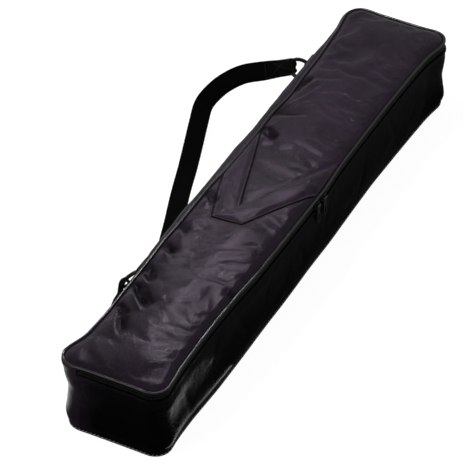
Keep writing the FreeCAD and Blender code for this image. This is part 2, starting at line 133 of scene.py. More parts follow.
class Profile:
    """A smooth curve through a few (place, value) pairs along the case."""

    SPAN = 420

    def __init__(self, pairs: Sequence[Pair], soften: int = 22) -> None:
        """Args:
            pairs: Places along Y and the values there, in order.
            soften: Half the width over which corners of the curve are rounded.
        """
        self.places = np.arange(-self.SPAN, self.SPAN + 1.0)
        values = np.interp(self.places, [p for p, _ in pairs], [v for _, v in pairs])
        kernel = np.hanning(2 * soften + 1)
        self.values = np.convolve(np.pad(values, soften, mode="edge"), kernel / kernel.sum(), "valid")

    def __call__(self, y: Array) -> Array:
        """The curve's value at each place."""
        return np.interp(y, self.places, self.values)


class Ripple:
    """Seeded smooth noise over a plane, from -1 to 1."""

    SIZE = 128

    def __init__(self, seed: int, cell: Pair, turn: float = 0.0) -> None:
        """Args:
            seed: Picks the pattern.
            cell: The size of one bump along both axes.
            turn: How far the pattern's axes are turned, in degrees.
        """
        self.lattice = np.random.default_rng(seed).uniform(-1, 1, (self.SIZE, self.SIZE))
        self.cell = cell
        self.cos, self.sin = math.cos(math.radians(turn)), math.sin(math.radians(turn))

    def __call__(self, a: Array, b: Array) -> Array:
        """The noise at each point (a, b)."""
        u = (a * self.cos + b * self.sin) / self.cell[0] + 31.7
        v = (b * self.cos - a * self.sin) / self.cell[1] + 57.3
        i, j = np.floor(u).astype(int), np.floor(v).astype(int)
        s, t = smoothstep(u - i), smoothstep(v - j)
        pick = lambda di, dj: self.lattice[(i + di) % self.SIZE, (j + dj) % self.SIZE]
        low = pick(0, 0) * (1 - s) + pick(1, 0) * s
        high = pick(0, 1) * (1 - s) + pick(1, 1) * s
        return low * (1 - t) + high * t


@dataclass(frozen=True)
class Crease:
    """A ridge or a valley pressed into cloth."""

    a: float
    b: float
    angle: float
    length: float
    width: float
    height: float
    lean: float = 0.0

    @classmethod
    def rows(cls, *sizes: Sequence[float]) -> "tuple[Crease, ...]":
        """Creases from rows of their sizes."""
        return tuple(cls(*row) for row in sizes)

    def lift(self, a: Array, b: Array) -> Array:
        """How far the crease raises each point (a, b) of the cloth."""
        turn = math.radians(self.angle)
        along = (a - self.a) * math.cos(turn) + (b - self.b) * math.sin(turn)
        across = (b - self.b) * math.cos(turn) - (a - self.a) * math.sin(turn)
        ridge = np.exp(-((across / self.width) ** 2))
        slope = across / self.width * np.exp(-((across / self.width / 2.2) ** 2)) * self.lean
        return self.height * (ridge + slope) * np.exp(-((along / (self.length / 2)) ** 4))


@dataclass(frozen=True)
class Polyline:
    """A path over the lid, for seams."""

    points: tuple[Pair, ...]

    def distance(self, a: Array, b: Array) -> Array:
        """How far each point (a, b) lies from the path."""
        best = np.full(np.shape(a), 1e9)
        for (ax, ay), (bx, by) in zip(self.points, self.points[1:]):
            dx, dy = bx - ax, by - ay
            share = np.clip(((a - ax) * dx + (b - ay) * dy) / (dx * dx + dy * dy), 0, 1)
            best = np.minimum(best, np.hypot(a - ax - share * dx, b - ay - share * dy))
        return best

    def steps(self, step: float) -> Array:
        """Points along the path, at most step apart."""
        out = []
        for start, end in zip(self.points, self.points[1:]):
            count = max(int(math.dist(start, end) / step), 1)
            share = np.arange(count)[:, None] / count
            out.append(np.array(start) * (1 - share) + np.array(end) * share)
        return np.concatenate(out + [np.array([self.points[-1]])])


# ---- outlines

class Run(Enum):
    """Which of the case's sides a wall piece covers."""

    ZIPPED = "zipped"
    HINGED = "hinged"
    ROUND = "round"


@dataclass(frozen=True)
class Outline:
    """The case's rounded plan outline."""

    half_x: float
    half_y: float
    radius: float
    side_steps: int = 260
    end_steps: int = 30
    corner_steps: int = 12

    @staticmethod
    def _line(start: Pair, end: Pair, normal: Pair, count: int) -> tuple[Array, Array]:
        """Points and normals of a straight side, its end left out."""
        share = np.arange(count)[:, None] / count
        points = np.array(start) * (1 - share) + np.array(end) * share
        return points, np.tile(np.array(normal, float), (count, 1))

    def _arc(self, sx: int, sy: int, first: float, radius: float) -> tuple[Array, Array]:
        """Points and normals of the corner on sides sx and sy, clockwise from an angle."""
        turns = np.radians(first - 90 * np.arange(self.corner_steps) / self.corner_steps)
        normals = np.stack([np.cos(turns), np.sin(turns)], -1)
        centre = np.array([sx * (self.half_x - self.radius), sy * (self.half_y - self.radius)])
        return centre + normals * radius, normals

    def stations(self, run: Run, inset: float) -> tuple[Array, Array]:
        """Points and outward normals in plan along a run, clockwise from the far end of the hinge side.

        Args:
            run: The sides to follow.
            inset: How far inwards of the outline.

        Returns:
            The points and the normals. An open run ends on its last point; ROUND leaves its first out.
        """
        x, y, r = self.half_x - inset, self.half_y - inset, self.radius - inset
        cx, cy = self.half_x - self.radius, self.half_y - self.radius
        zipped = [
            self._line((-cx, y), (cx, y), (0, 1), self.end_steps),
            self._arc(1, 1, 90, r),
            self._line((x, cy), (x, -cy), (1, 0), self.side_steps),
            self._arc(1, -1, 0, r),
            self._line((cx, -y), (-cx, -y), (0, -1), self.end_steps),
        ]
        hinged = [
            self._arc(-1, -1, -90, r),
            self._line((-x, -cy), (-x, cy), (-1, 0), self.side_steps),
            self._arc(-1, 1, 180, r),
        ]
        lines = {Run.ZIPPED: zipped, Run.HINGED: hinged, Run.ROUND: zipped + hinged}[run]
        if run is Run.ZIPPED:
            lines.append((np.array([[-cx, -y]]), np.array([[0.0, -1.0]])))
        elif run is Run.HINGED:
            lines.append((np.array([[-cx, y]]), np.array([[0.0, 1.0]])))
        return np.concatenate([p for p, _ in lines]), np.concatenate([n for _, n in lines])

    def depth(self, x: Array, y: Array) -> Array:
        """How far inside the outline each point lies."""
        qx = np.abs(x) - (self.half_x - self.radius)
        qy = np.abs(y) - (self.half_y - self.radius)
        outside = np.hypot(np.maximum(qx, 0), np.maximum(qy, 0))
        return self.radius - outside - np.minimum(np.maximum(qx, qy), 0)

    def panel(self, inset: float, columns: int) -> tuple[Array, Array]:
        """A grid of plan points that fills the outline.

        Args:
            inset: How far inwards of the outline the panel ends.
            columns: Points across the panel.

        Returns:
            X and Y of the grid, one row for each place along the case.
        """
        radius = self.radius - inset
        cy = self.half_y - self.radius
        bend = np.radians(np.linspace(0, 90, self.corner_steps + 1))
        straight = np.linspace(-cy, cy, self.side_steps + 1)
        ys = np.concatenate([-cy - radius * np.sin(bend[:0:-1]), straight, cy + radius * np.sin(bend[1:])])
        reach = np.clip(np.abs(ys) - cy, 0, radius)
        half = self.half_x - self.radius + np.sqrt(radius**2 - reach**2)
        across = np.linspace(-1, 1, columns)
        return half[:, None] * across, np.repeat(ys[:, None], columns, 1)


@dataclass(frozen=True)
class Corner:
    """How far a corner of the soft case pokes out, and how that changes with the height."""

    side_x: int
    side_y: int
    out_x: float
    out_y: float
    heights: tuple[float, ...]
    shares: tuple[float, ...]

    def push(self, x: Array, y: Array, z: Array, half_y: float) -> tuple[Array, Array]:
        """How far each point moves along X and Y."""
        near = smoothstep((self.side_y * y - half_y + 58) / 38) * smoothstep((self.side_x * x - 25) / 35)
        near = near * np.interp(z, self.heights, self.shares)
        return self.side_x * self.out_x * near, self.side_y * self.out_y * near


class SoftForm:
    """How the filled cloth case pinches, flares and leans away from its drawn shape.

    RIGHT and LEFT pull the long sides inwards and ENDS the short ones. Each of their curves has its height,
    how far its corners are rounded, and how far it pulls at places along Y.
    """

    LOW, MIDDLE, HIGH, SHOULDER, RIM = 0.0, 50.0, 86.0, 98.0, 99.0
    CORNERS = (
        Corner(-1, -1, 8.0, 2.0, (0, 8, 20, 60, 90, 96, 99), (0.4, 0.6, 0.75, 0.35, 0.8, 0.95, 1.0)),
        Corner(-1, 1, 4.5, 2.0, (0, 100), (1.0, 1.0)),
        Corner(1, 1, 4.5, 2.5, (0, 14, 60, 100), (0.3, 0.8, 1.0, 1.0)),
        Corner(1, -1, 2.0, 1.5, (0, 14, 60, 100), (0.2, 1.0, 1.0, 1.0)),
    )
    RIGHT = (
        (LOW, 22, ((-380, -2), (-345, 1.8), (-300, 2.4), (-240, 0.4), (-180, 0.9), (-120, 2), (-60, 2.1),
                   (0, 3.7), (60, 3.7), (120, 5.6), (180, 7), (240, 6), (300, 4.6), (345, 2.9), (380, -1))),
        (MIDDLE, 22, ((-380, 2), (-300, 5), (-200, 3.5), (0, 2.5), (150, 3), (300, 3), (380, 2))),
        (HIGH, 22, ((-380, 0), (-345, 1.5), (-300, 3.5), (-237, 4.8), (-185, 3.5), (-135, 0.6),
                    (40, 0), (85, 3.6), (150, 4.6), (230, 5), (300, 4), (350, 1), (380, 0))),
    )
    LEFT = (
        (LOW, 22, ((-380, 0), (-300, 2), (-200, 1), (0, 0), (200, 1), (300, 2), (380, 0))),
        (MIDDLE, 22, ((-380, 1), (-300, 2), (-150, -1), (0, -2.5), (150, -2), (300, 0), (380, 1))),
        (SHOULDER, 12, ((-380, 0), (-345, 0.5), (-300, 4), (-270, 4.2), (-240, 2.6), (-210, 0.6),
                        (-180, -2.2), (-150, -4.2), (-120, -4.6), (-60, -5), (0, -4.8), (60, -5.2),
                        (105, -3), (150, -4), (180, -4), (240, -4.4), (270, -4.6), (300, -3.4),
                        (330, -3.2), (380, -2.4))),
        (RIM, 14, ((-380, 0), (-345, 0.5), (-315, 2.6), (-285, 4.2), (-255, 3.7), (-225, 3.5), (-180, 3),
                   (-140, 1), (-100, 2.5), (-60, 2.2), (-20, 2), (20, 5.5), (60, 6), (100, 6), (140, 4.5),
                   (180, 8), (220, 5.5), (260, 5), (300, 2), (330, 0), (380, 0))),
    )
    ENDS = (
        (LOW, 22, ((-380, 0), (380, 0))),
        (MIDDLE, 22, ((-380, 1.4), (0, 1.5), (380, 1.5))),
        (HIGH, 22, ((-380, 0), (0, 0), (380, -2.5))),
    )

    def __init__(self, outline: Outline) -> None:
        """Args:
            outline: The drawn outline.
        """
        self.outline = outline
        self.right, self.left, self.ends = (
            [(level, Profile(pairs, soften)) for level, soften, pairs in curves]
            for curves in (self.RIGHT, self.LEFT, self.ENDS))

    @staticmethod
    def _blend(levels: Sequence[tuple[float, Profile]], y: Array, z: Array) -> Array:
        """What the levels' curves give at each place and height."""
        value = levels[0][1](y)
        for (low, _), (high, upper) in zip(levels, levels[1:]):
            share = smoothstep((z - low) / (high - low))
            value = value * (1 - share) + upper(y) * share
        return value

    def settle(self, points: Array) -> Array:
        """Moves points of the drawn case to where the soft case has them.

        Args:
            points: Points, their coordinates along the last axis.

        Returns:
            The moved points.
        """
        x, y, z = points[..., 0], points[..., 1], points[..., 2]
        half_x, half_y = self.outline.half_x, self.outline.half_y
        pull = np.where(x > 0, self._blend(self.right, y, z), self._blend(self.left, y, z))
        shorten = self._blend(self.ends, y, z) * smoothstep((np.abs(y) - 230) / 150)
        new_x, new_y = x * (1 - pull / half_x), y * (1 - shorten / half_y)
        for corner in self.CORNERS:
            move_x, move_y = corner.push(x, y, z, half_y)
            new_x, new_y = new_x + move_x, new_y + move_y
        return np.stack([new_x, new_y, z], -1)


# ---- meshes

def quads(rows: int, columns: int, close_rows: bool = False, close_columns: bool = False) -> Array:
    """Corner indices of a grid's faces.

    Args:
        rows: Points down the grid.
        columns: Points across it.
        close_rows: Whether the last row joins the first.
        close_columns: Whether the last column joins the first.

    Returns:
        One row of four indices for each face.
    """
    i = np.arange(rows if close_rows else rows - 1)[:, None]
    j = np.arange(columns if close_columns else columns - 1)[None, :]
    after_i, after_j = (i + 1) % rows, (j + 1) % columns
    corners = [i * columns + j, i * columns + after_j, after_i * columns + after_j, after_i * columns + j]
    return np.stack([c.ravel() for c in corners], -1)


def link(name: str, data: bpy.types.ID) -> Piece:
    """A new object in the scene."""
    thing = bpy.data.objects.new(name, data)
    bpy.context.scene.collection.objects.link(thing)
    return thing


def make_piece(name: str, points: Array, faces: Sequence, sharp: float = 55.0,
               uv: Optional[Array] = None) -> Piece:
    """A closed mesh in the frame's own place, its faces turned outwards.

    Args:
        name: The piece's name.
        points: Its vertices, in millimetres.
        faces: Corner indices of each face.
        sharp: Edges that turn more than this many degrees stay sharp.
        uv: A texture place for each vertex, in millimetres along and across.

    Returns:
        The new object, linked to the scene.
    """
    mesh = bpy.data.meshes.new(name)
    mesh.from_pydata((points.reshape(-1, 3) * MM).tolist(), [], [list(map(int, f)) for f in faces])
    work = bmesh.new()
    work.from_mesh(mesh)
    bmesh.ops.recalc_face_normals(work, faces=work.faces)
    work.to_mesh(mesh)
    work.free()
    if uv is not None:
        layer = mesh.uv_layers.new(name="Cloth")
        corner_of = np.zeros(len(mesh.loops), int)
        mesh.loops.foreach_get("vertex_index", corner_of)
        layer.data.foreach_set("uv", (uv.reshape(-1, 2) * MM)[corner_of].astype(np.float32).ravel())
    mesh.shade_smooth()
    mesh.set_sharp_from_angle(angle=math.radians(sharp))
    return link(name, mesh)


def finish_piece(piece: Piece, body: str, material: Material, slot: str,
                 replaces: Sequence[str] = ()) -> None:
    """Dresses a piece and hands it to the frame.

    Args:
        piece: The piece.
        body: The body that it rides on.
        material: Its material.
        slot: Its material's slot; not used.
        replaces: The frame nodes that it stands for.
    """
    piece.data.materials.clear()
    piece.data.materials.append(material)
    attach(piece, body)
    if replaces:
        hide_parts(*replaces)
    LOG.info("%s rides on %s with %d faces", piece.name, body, len(piece.data.polygons))


def mark_fold_shade(piece: Piece, folded: Array) -> None:
    """Keeps how deep in a fold each vertex lies, which the cloth's finish darkens as painted shade."""
    layer = piece.data.attributes.new("fold", "FLOAT", "POINT")
    layer.data.foreach_set("value", folded.astype(np.float32))


def slab(name: str, top: Array, bottom: Array) -> Piece:
    """A closed sheet between two grids of points of the same size.

    Args:
        name: The piece's name.
        top: Points of its upper face as (rows, columns, 3).
        bottom: Points of its lower face.

    Returns:
        The new object.
    """
    rows, columns = top.shape[:2]
    upper = quads(rows, columns)
    lower = upper[:, ::-1] + rows * columns
    edge = np.concatenate([
        np.arange(columns), np.arange(1, rows) * columns + columns - 1,
        (rows - 1) * columns + np.arange(columns - 2, -1, -1), np.arange(rows - 2, 0, -1) * columns,
    ])
    after = np.roll(edge, -1)
    rim = np.stack([edge, edge + rows * columns, after + rows * columns, after], -1)
    points = np.concatenate([top.reshape(-1, 3), bottom.reshape(-1, 3)])
    return make_piece(name, points, np.concatenate([upper, lower, rim]))


def swept(name: str, grid: Array, closed_path: bool, uv: Optional[Array] = None,
          sharp: float = 55.0) -> Piece:
    """A closed solid from a closed section carried along a path.

    Args:
        name: The piece's name.
        grid: Points as (stations, section points, 3).
        closed_path: Whether the path closes on itself.
        uv: A texture place for each point.
        sharp: Edges that turn more than this many degrees stay sharp.

    Returns:
        The new object.
    """
    stations, around = grid.shape[:2]
    faces = list(quads(stations, around, closed_path, True))
    if not closed_path:
        last = (stations - 1) * around
        faces += [list(range(around)), [last + k for k in range(around - 1, -1, -1)]]
    return make_piece(name, grid, faces, sharp, uv)


def heights(low: float, high: float, step: float, hem: Sequence[float] = (0.4, 1.0, 2.0)) -> Array:
    """Heights from low to high, closer together beside both edges."""
    inner = np.linspace(low + hem[-1], high - hem[-1], max(int((high - low) / step), 2))
    near = [low + h for h in (0.0, *hem[:-1])]
    return np.concatenate([near, inner, [high - h for h in (*hem[-2::-1], 0.0)]])


# ---- materials

def feed(socket: bpy.types.NodeSocket, value: object) -> None:
    """Links an input socket to another socket, or sets it to a plain value."""
    source = value.socket if isinstance(value, Value) else value
    if isinstance(source, bpy.types.NodeSocket):
        socket.id_data.links.new(source, socket)
    else:
        socket.default_value = source


def add_node(tree: bpy.types.NodeTree, kind: str, settings: dict, inputs: dict) -> bpy.types.Node:
    """Adds a node to a tree.

    Args:
        tree: The tree.
        kind: The node's type.
        settings: Its properties, which are set first.
        inputs: Values or links of its sockets, by name or number.

    Returns:
        The node.
    """
    node = tree.nodes.new(kind)
    for name, value in settings.items():
        setattr(node, name, value)
    for name, value in inputs.items():
        feed(node.inputs[name], value)
    return node


@dataclass(frozen=True)
class Value:
    """An output socket of a material, which takes part in arithmetic."""

    shader: "Shader"
    socket: bpy.types.NodeSocket

    def _math(self, operation: str, *terms: object) -> "Value":
        """What a Math node makes of the terms."""
        return self.shader.node("ShaderNodeMath", {"operation": operation}, dict(enumerate(terms)))

    def __add__(self, other: object) -> "Value":
        """The sum."""
        return self._math("ADD", self, other)

    def __sub__(self, other: object) -> "Value":
        """The difference."""
        return self._math("SUBTRACT", self, other)

    def __mul__(self, other: object) -> "Value":
        """The product."""
        return self._math("MULTIPLY", self, other)

    def __rsub__(self, other: object) -> "Value":
        """The difference, taken from a plain number."""
        return self._math("SUBTRACT", other, self)

    __radd__, __rmul__ = __add__, __mul__

    def ramp(self, low: float, high: float, bottom: float = 0.0, top: float = 1.0) -> "Value":
        """The value's place between low and high, as a number from bottom to top."""
        return self.shader.node("ShaderNodeMapRange", {"clamp": True}, {
            "Value": self, "From Min": low, "From Max": high, "To Min": bottom, "To Max": top})

    def wave(self) -> "Value":
        """The sine, from 0 to 1."""
        return self._math("SINE", self) * 0.5 + 0.5

    def absolute(self) -> "Value":
        """The value without its sign."""
        return self._math("ABSOLUTE", self)


class Shader:
    """A material under construction, with one principled surface."""

    def __init__(self, name: str) -> None:
        """Args:
            name: The material's name.
        """
        self.material = bpy.data.materials.new(name)
        self.material.use_nodes = True
        self.tree = self.material.node_tree
        self.surface = next(n for n in self.tree.nodes if n.type == "BSDF_PRINCIPLED")
        self.place = Value(self, self.tree.nodes.new("ShaderNodeTexCoord").outputs["Object"])

    def node(self, kind: str, settings: dict, inputs: dict, output: object = 0) -> Value:
        """Adds a node and returns one of its outputs, by name or number."""
        return Value(self, add_node(self.tree, kind, settings, inputs).outputs[output])

    def set(self, **inputs: object) -> None:
        """Sets sockets of the surface, their names with underscores for spaces."""
        for name, value in inputs.items():
            feed(self.surface.inputs[name.replace("_", " ")], value)

    def noise(self, scale: float, detail: float = 3.0, rough: float = 0.55) -> Value:
        """Noise over the piece, from 0 to 1, scale bumps to the metre."""
        return self.node("ShaderNodeTexNoise", {}, {
            "Vector": self.place, "Scale": scale, "Detail": detail, "Roughness": rough})

    def cells(self, scale: float) -> Value:
        """Distance to the nearest edge of a cell pattern, scale cells to the metre."""
        return self.node("ShaderNodeTexVoronoi", {"feature": "DISTANCE_TO_EDGE"}, {
            "Vector": self.place, "Scale": scale})

    def mix(self, factor: object, first: object, second: object) -> Value:
        """A colour between two others. The node's sockets for colours are 6 and 7, and its third output."""
        return self.node("ShaderNodeMix", {"data_type": "RGBA"}, {0: factor, 6: first, 7: second}, 2)

    def axis(self, source: Value, name: str) -> Value:
        """One coordinate of a vector."""
        return self.node("ShaderNodeSeparateXYZ", {}, {0: source}, name)

    def cloth_place(self) -> Value:
        """The piece's texture place, in metres along and across."""
        return self.node("ShaderNodeUVMap", {"uv_map": "Cloth"}, {})

    def overlay(self, share: Value, other: Value) -> None:
        """Lets another shader show through the surface where the share is high."""
        mixed = self.node("ShaderNodeMixShader", {}, {0: share, 1: self.surface.outputs[0], 2: other})
        output = next(n for n in self.tree.nodes if n.type == "OUTPUT_MATERIAL")
        feed(output.inputs["Surface"], mixed)

    def bump(self, height: Value, depth: float, strength: float = 1.0) -> None:
        """Raises the surface by height times depth, in metres."""
        self.set(Normal=self.node("ShaderNodeBump", {}, {
            "Strength": strength, "Distance": depth, "Height": height}, "Normal"))


# The lid cloth's colours, also painted on the hinge-side wall and corners as painted light.
TOP_AND_PAINTED_LIGHT_COLOUR, TOP_AND_PAINTED_LIGHT_DARK = srgb(36, 25, 38), srgb(11, 13, 13)
WHITE = (1.0, 1.0, 1.0, 1.0)


@dataclass(frozen=True)
class CoatedCloth:
    """Woven cloth with a leathery coat: a fine pebble grain, soft mottling, rubbed high spots, painted
    shade in its folds and, where it has a corner, painted light round the hinge-side corners.
    """

    name: str
    colour: Colour
    shade: Colour
    roughness: float = 0.3
    specular: float = 0.075
    grain: float = 620.0
    depth: float = 0.00012
    tint: Colour = (0.92, 0.7, 1.0, 1.0)
    # Where set, the span of X over which the lighter lid colour is painted on as painted light round the
    # hinge-side corners.
    corner: Optional[Pair] = None

    def _colour(self, shader: Shader, mottle: Value) -> Value:
        """The mottled colour, which turns into the lighter lid colour round the hinge-side corners as
        painted light.

        Args:
            shader: The material that is being made.
            mottle: Where the cloth is light, from 0 to 1.

        Returns:
            The colour.
        """
        plain = shader.mix(mottle, self.shade, self.colour)
        if self.corner is None:
            return plain
        # Painted light: the lighter lid colour spreads in from -X and reaches further higher up.
        across, high = shader.axis(shader.place, "X"), shader.axis(shader.place, "Z")
        cloudy = shader.noise(42.0, 4.0, 0.6) * 0.05 + across - high * 0.22
        share = cloudy.ramp(self.corner[0], self.corner[1], 1.0, 0.0)
        return shader.mix(share, plain, shader.mix(mottle, TOP_AND_PAINTED_LIGHT_DARK, TOP_AND_PAINTED_LIGHT_COLOUR))

    def make(self) -> Material:
        """The finished material."""
        shader = Shader(self.name)
        # Painted shade: the fold attribute marks where a near-black matt surface is laid over the creases.
        folded = shader.node("ShaderNodeAttribute", {"attribute_name": "fold"}, {}, "Fac")
        cloudy = shader.noise(15.0, 4.0, 0.6).ramp(0.38, 0.62) * 0.4
        patchy = shader.noise(75.0, 5.0, 0.7).ramp(0.32, 0.68) * 0.3
        mottle = cloudy + patchy + shader.noise(330.0, 3.0, 0.6).ramp(0.3, 0.7) * 0.3
        painted_crease_shade = folded * shader.noise(70.0, 4.0, 0.65).ramp(0.3, 0.7, 0.35, 1.0)
        pebble = shader.cells(self.grain).ramp(0.0, 0.34)
        wear = shader.noise(95.0, 5.0, 0.7).ramp(0.45, 0.8)
        shader.set(
            Base_Color=self._colour(shader, mottle),
            Roughness=wear * 0.10 + pebble * 0.05 + (self.roughness - 0.07),
            Specular_IOR_Level=self.specular, Specular_Tint=self.tint,
        )
        shader.bump(pebble + shader.noise(300.0, 4.0) * 1.2, self.depth, 0.8)
        # Painted shade in the folds.
        shader.overlay(painted_crease_shade * 0.92, shader.node("ShaderNodeBsdfDiffuse", {}, {"Color": srgb(1, 2, 2)}))
        return shader.material


@dataclass(frozen=True)
class Weave:
    """Cloth whose threads follow its texture place: webbing, tape and lining."""

    name: str
    colour: Colour
    light: Colour
    pitch: Pair
    roughness: float = 0.7
    specular: float = 0.3
    depth: float = 0.0002
    slant: float = 0.0

    def make(self) -> Material:
        """The finished material."""
        shader = Shader(self.name)
        place = shader.cloth_place()
        along, across = shader.axis(place, "X"), shader.axis(place, "Y")
        slanted = along + across.absolute() * self.slant
        warp = (across * (2 * math.pi / self.pitch[1])).wave()
        weft = (slanted * (2 * math.pi / self.pitch[0])).wave()
        threads = warp * weft
        fuzz = shader.noise(900.0, 3.0)
        shader.set(
            Base_Color=shader.mix(threads * 0.7 + fuzz * 0.3, self.colour, self.light),
            Roughness=fuzz * 0.2 + (self.roughness - 0.1),
            Specular_IOR_Level=self.specular,
        )
        shader.bump(warp * 0.6 + weft * 0.6 + fuzz * 0.3, self.depth)
        return shader.material


@dataclass(frozen=True)
class Enamel:
    """Black enamel on cast metal, rubbed thin in spots."""

    name: str
    colour: Colour
    bare: Colour

    def make(self) -> Material:
        """The finished material."""
        shader = Shader(self.name)
        rubbed = shader.noise(240.0, 6.0, 0.75).ramp(0.62, 0.72) * 0.5
        shader.set(
            Base_Color=shader.mix(rubbed, self.colour, self.bare),
            Metallic=rubbed, Specular_IOR_Level=0.2,
            Roughness=shader.noise(420.0, 3.0).ramp(0.2, 0.9, 0.26, 0.46),
        )
        shader.bump(shader.noise(1500.0, 2.0), 0.00006)
        return shader.material


@dataclass(frozen=True)
class Plain:
    """A plain material with fine noise: cord, nylon coil, foam or board."""

    name: str
    colour: Colour
    light: Colour
    roughness: float
    scale: float
    depth: float
    specular: float = 0.5

    def make(self) -> Material:
        """The finished material."""
        shader = Shader(self.name)
        coarse, fine = shader.noise(self.scale, 4.0), shader.noise(self.scale * 5, 2.0)
        shader.set(
            Base_Color=shader.mix(coarse.ramp(0.35, 0.7), self.colour, self.light),
            Roughness=fine.ramp(0.2, 0.8, self.roughness - 0.08, self.roughness + 0.08),
            Specular_IOR_Level=self.specular,
        )
        shader.bump(coarse + fine * 0.5, self.depth)
        return shader.material


class Palette:
    """Every finish of the case, made once."""

    def __init__(self) -> None:
        """Makes the materials."""
        self.top = CoatedCloth("top_cloth", TOP_AND_PAINTED_LIGHT_COLOUR, TOP_AND_PAINTED_LIGHT_DARK, 0.27).make()
        self.band = CoatedCloth("band_cloth", srgb(41, 29, 43), srgb(17, 19, 19), 0.28, grain=660.0).make()
        # The side cloth gets painted light round the hinge-side corners.
        self.side = CoatedCloth("side_cloth", srgb(5, 4, 5), srgb(2, 2, 2), 0.32, 0.034, depth=0.00005,
                                corner=(-0.042, -0.002)).make()
        self.under = CoatedCloth("base_cloth", srgb(8, 7, 8), srgb(5, 4, 5), 0.5, 0.12, 520.0).make()
        self.welt = Plain("welt_vinyl", srgb(4, 3, 4), srgb(8, 7, 8), 0.2, 500.0, 0.00004, 0.22).make()
        self.binding = Plain("edge_binding", srgb(3, 2, 3), srgb(6, 5, 6), 0.6, 900.0, 0.0001, 0.03).make()
        self.thread = Plain("thread", srgb(9, 8, 10), srgb(20, 18, 21), 0.5, 1500.0, 0.0001, 0.15).make()
        self.thread_light = Plain("thread_light", srgb(52, 44, 54), srgb(88, 80, 90), 0.45, 1500.0,
                                  0.0001, 0.2).make()
        self.whip = Plain("whip_thread", srgb(112, 105, 114), srgb(160, 152, 162), 0.45, 1500.0,
                          0.0001, 0.2).make()
        self.lining = Weave("lining_taffeta", srgb(66, 65, 71), srgb(94, 92, 100), (0.0011, 0.0011),
                            0.55, 0.15).make()
        self.foam = Plain("foam", srgb(44, 44, 47), srgb(70, 70, 74), 0.9, 900.0, 0.0004, 0.2).make()
        self.board = Plain("board", srgb(30, 30, 31), srgb(42, 42, 43), 0.5, 350.0, 0.0001).make()
        self.tape = Weave("zip_tape", srgb(4, 4, 4), srgb(14, 13, 15), (0.0014, 0.0009), 0.72, 0.05,
                          slant=1.0).make()
        self.coil = Plain("zip_nylon", srgb(7, 6, 7), srgb(14, 13, 15), 0.3, 700.0, 0.00004, 0.25).make()
        self.metal = Enamel("black_enamel", srgb(7, 6, 7), srgb(60, 58, 55)).make()
        self.webbing = Weave("strap_webbing", srgb(1, 1, 1), srgb(6, 6, 6), (0.0022, 0.0016), 0.85, 0.02,
                             slant=0.9).make()


# ---- repeated details

@dataclass(frozen=True)
class Stitch:
    """The sizes of a row of small rounded lengths: stitches, or a zipper's teeth. Angles are in radians."""

    spacing: float
    length: float
    width: float
    height: float
    seed: int
    scatter: float = 0.0
    lean: float = 0.0


